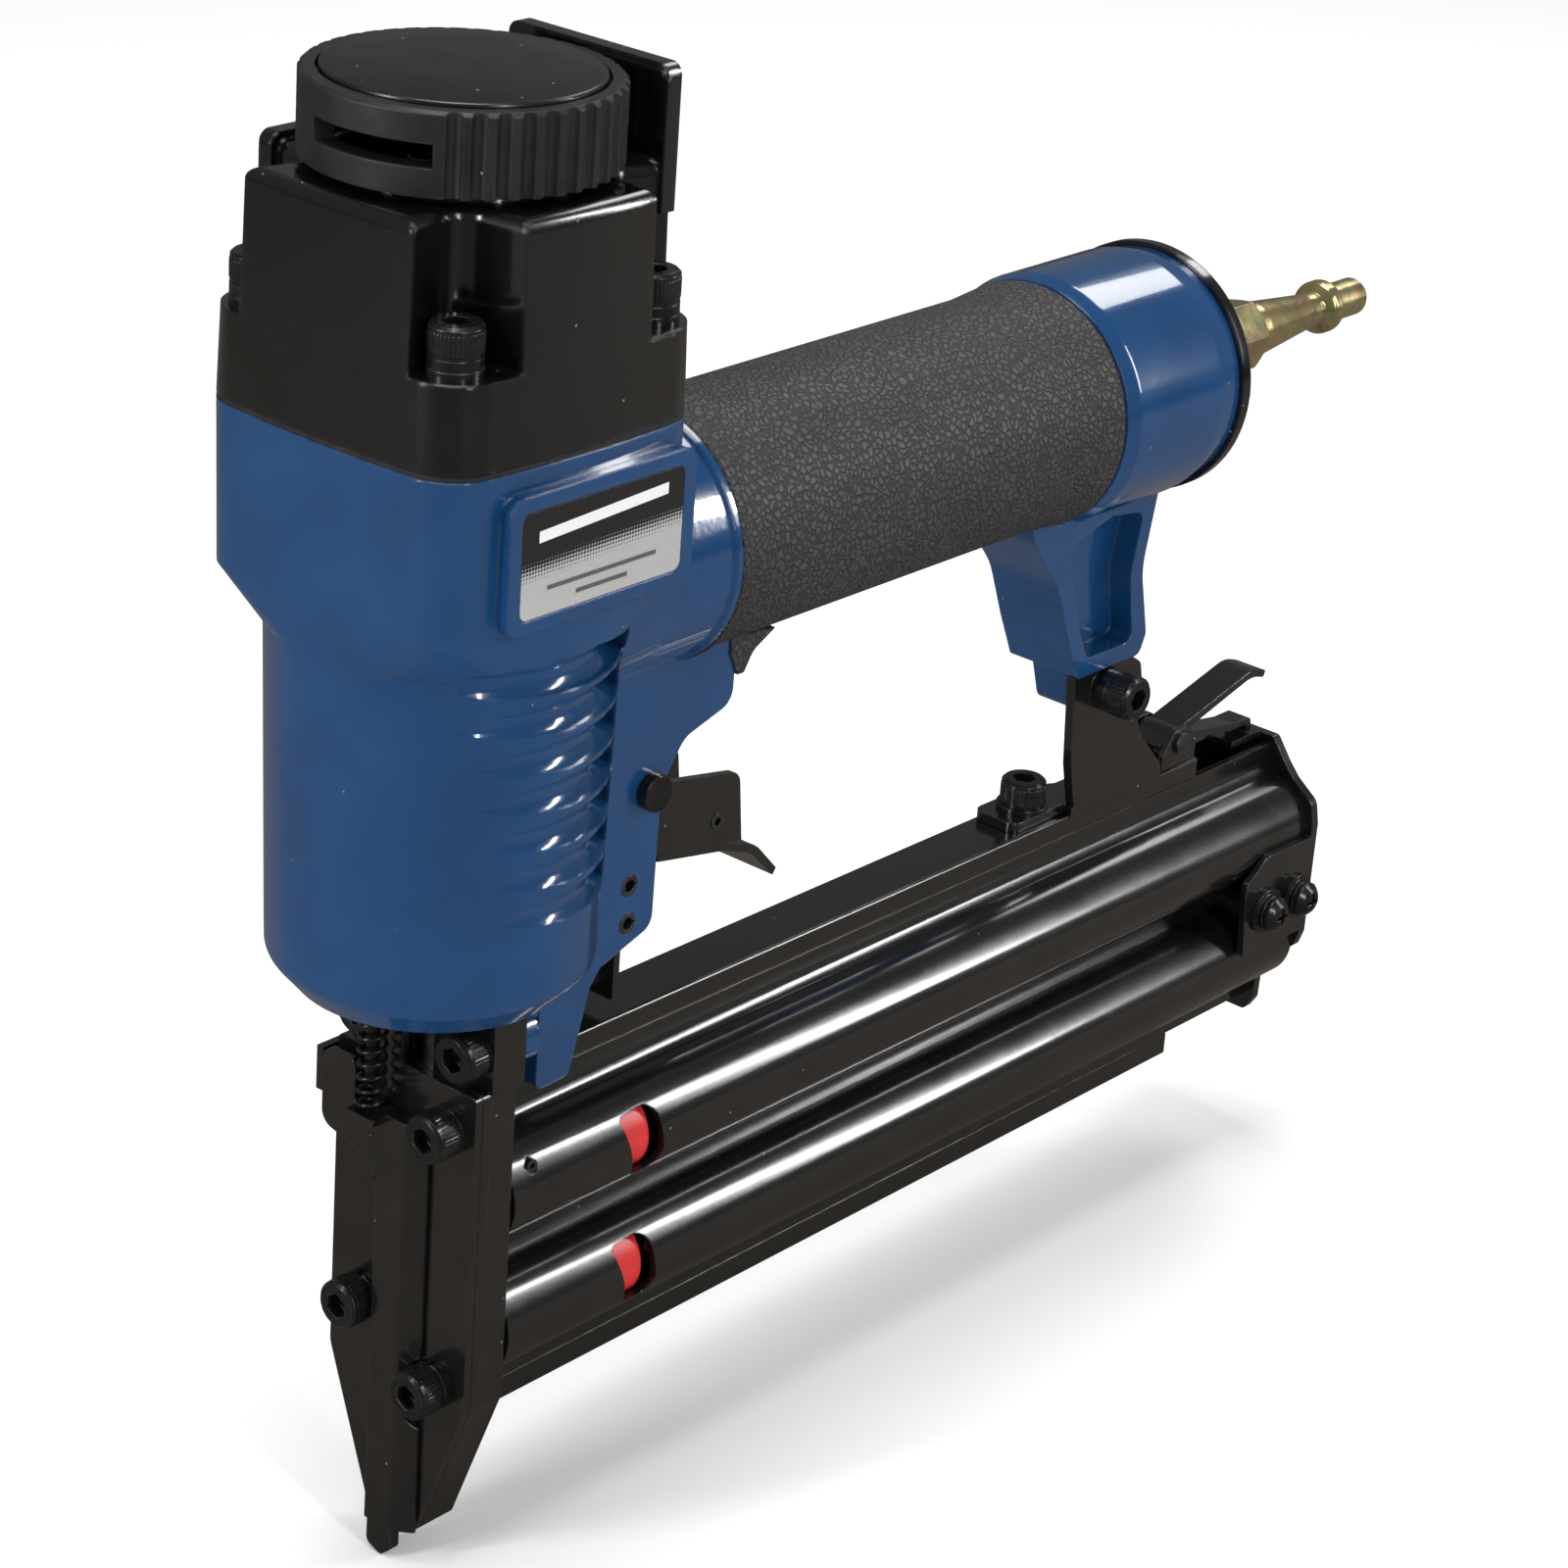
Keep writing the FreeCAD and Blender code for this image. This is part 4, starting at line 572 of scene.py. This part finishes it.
def addKnurl(build, low, high, forward):
    # a toothed band from just above the head's foot to just below its rim
    middle = (low + high) / 2
    along = max(range(3), key=lambda i: abs(forward[i]))
    first, second = [i for i in range(3) if i != along]
    radius = (high[first] - low[first]) / 2
    height = radius / knurls["headRatio"]
    tip = high[along] if forward[along] > 0 else low[along]
    bevel = knurls["bevel"] / height
    start, end = knurls["startShare"], knurls["endShare"]
    rings = []
    for share, toothed in ((start, False), (start + bevel, True), (end - bevel, True), (end, False)):
        ring = []
        for k in range(knurls["teeth"] * 2):
            out = radius + (knurls["stand"] if toothed and k % 2 else -knurls["sunk"])
            turn = math.pi * k / knurls["teeth"]
            spot = Vector((0, 0, 0))
            spot[along] = tip - forward[along] * height * (1.0 - share)
            spot[first] = middle[first] + out * math.cos(turn)
            spot[second] = middle[second] + out * math.sin(turn)
            ring.append(build.verts.new(spot))
        rings.append(ring)
    for lower, upper in zip(rings, rings[1:]):
        for k in range(len(lower)):
            n = (k + 1) % len(lower)
            build.faces.new((lower[k], lower[n], upper[n], upper[k]))


def makeKnurls():
    for node, (forward, body) in screwHeads.items():
        build = bmesh.new()
        for low, high in loosePieces(node):
            addKnurl(build, low, high, forward)
        bmesh.ops.recalc_face_normals(build, faces=build.faces)
        mesh = bpy.data.meshes.new(node + "_knurling")
        build.to_mesh(mesh)
        build.free()
        piece = bpy.data.objects.new(node + "_knurling", mesh)
        bpy.context.scene.collection.objects.link(piece)
        mesh.materials.append(materials["blackOxide"])
        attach(piece, body)


makeKnurls()
print("screw heads knurled")


# floor, light and camera

studio = dict(
    floorColour=(0.93, 0.93, 0.925), mottle=0.985, mottleScale=3.0, floorRough=0.85, floorHalf=4.0, floorDrop=0.0002,
    floorShift=0.1, mirrored=(0.095, 0.082, 0.066), world=(1.0, 1.0, 1.0), worldPower=0.42, worldMirrored=0.13)
lights = {
    "softTop": dict(spot=(-0.25, 0.05, 2.30), size=(1.1, 1.1), power=36.0),
    "stripFront": dict(spot=(-0.35, -1.10, 0.55), size=(0.07, 0.75), power=5.0),
    "stripRight": dict(spot=(0.85, -0.80, 0.50), size=(0.10, 0.70), power=6.0),
    "stripLeft": dict(spot=(-1.05, 0.30, 0.40), size=(0.12, 0.70), power=6.0),
    "softRear": dict(spot=(0.95, 0.20, 0.95), size=(0.45, 0.45), power=3.2),
}


def makeFloor():
    mesh = bpy.data.meshes.new("studioFloor")
    build = bmesh.new()
    bmesh.ops.create_grid(build, x_segments=8, y_segments=8, size=studio["floorHalf"])
    build.to_mesh(mesh)
    build.free()
    floor = bpy.data.objects.new("studioFloor", mesh)
    floor.location = (studio["floorShift"], 0, cadLow.z - studio["floorDrop"])
    bpy.context.scene.collection.objects.link(floor)
    material, tree, surface = startMaterial("studioPaper", Roughness=studio["floorRough"])
    darker = tuple(c * studio["mottle"] for c in studio["floorColour"])
    mottle = noiseAt(tree, objectPoint(tree), studio["mottleScale"])
    tone = mixColour(tree, mottle, studio["floorColour"], darker)
    # mirrored in the tool, the floor is as dark as black card
    glossy = place(tree, "ShaderNodeLightPath").outputs["Is Glossy Ray"]
    tree.links.new(mixColour(tree, glossy, tone, studio["mirrored"]), surface.inputs["Base Color"])
    mesh.materials.append(material)


def makeWorld():
    world = bpy.data.worlds.new("studioWorld")
    bpy.context.scene.world = world
    world.use_nodes = True
    tree = world.node_tree
    back = tree.nodes["Background"]
    back.inputs["Color"].default_value = (*studio["world"], 1.0)
    glossy = place(tree, "ShaderNodeLightPath").outputs["Is Glossy Ray"]
    drop = multiply(tree, glossy, studio["worldPower"] - studio["worldMirrored"])
    tree.links.new(mathNode(tree, "SUBTRACT", studio["worldPower"], drop), back.inputs["Strength"])


def makeLights(target):
    for name, values in lights.items():
        data = bpy.data.lights.new(name, "AREA")
        data.shape = "RECTANGLE"
        data.size, data.size_y = values["size"]
        data.energy = values["power"]
        lamp = bpy.data.objects.new(name, data)
        lamp.location = target + Vector(values["spot"])
        lamp.rotation_mode = "QUATERNION"
        lamp.rotation_quaternion = (target - lamp.location).to_track_quat("-Z", "Y")
        bpy.context.scene.collection.objects.link(lamp)


camera = dict(
    lens=99.42, sensor=36.0, nearest=0.01, farthest=50.0, spot=(-0.448655, -0.439516, 0.419124),
    right=(0.656126, -0.751635, 0.067400), up=(0.266397, 0.314255, 0.911195), back=(-0.706067, -0.579904, 0.406424))


def makeCamera():
    data = bpy.data.cameras.new("studioCamera")
    data.lens = camera["lens"]
    data.sensor_width = camera["sensor"]
    data.clip_start = camera["nearest"]
    data.clip_end = camera["farthest"]
    view = bpy.data.objects.new("studioCamera", data)
    turn = Matrix([camera["right"], camera["up"], camera["back"]]).transposed().to_4x4()
    view.matrix_world = Matrix.Translation(camera["spot"]) @ turn
    bpy.context.scene.collection.objects.link(view)
    bpy.context.scene.camera = view


bpy.context.scene.view_settings.view_transform = "Standard"
makeFloor()
makeWorld()
makeLights((cadLow + cadHigh) / 2)
makeCamera()
print("studio ready")
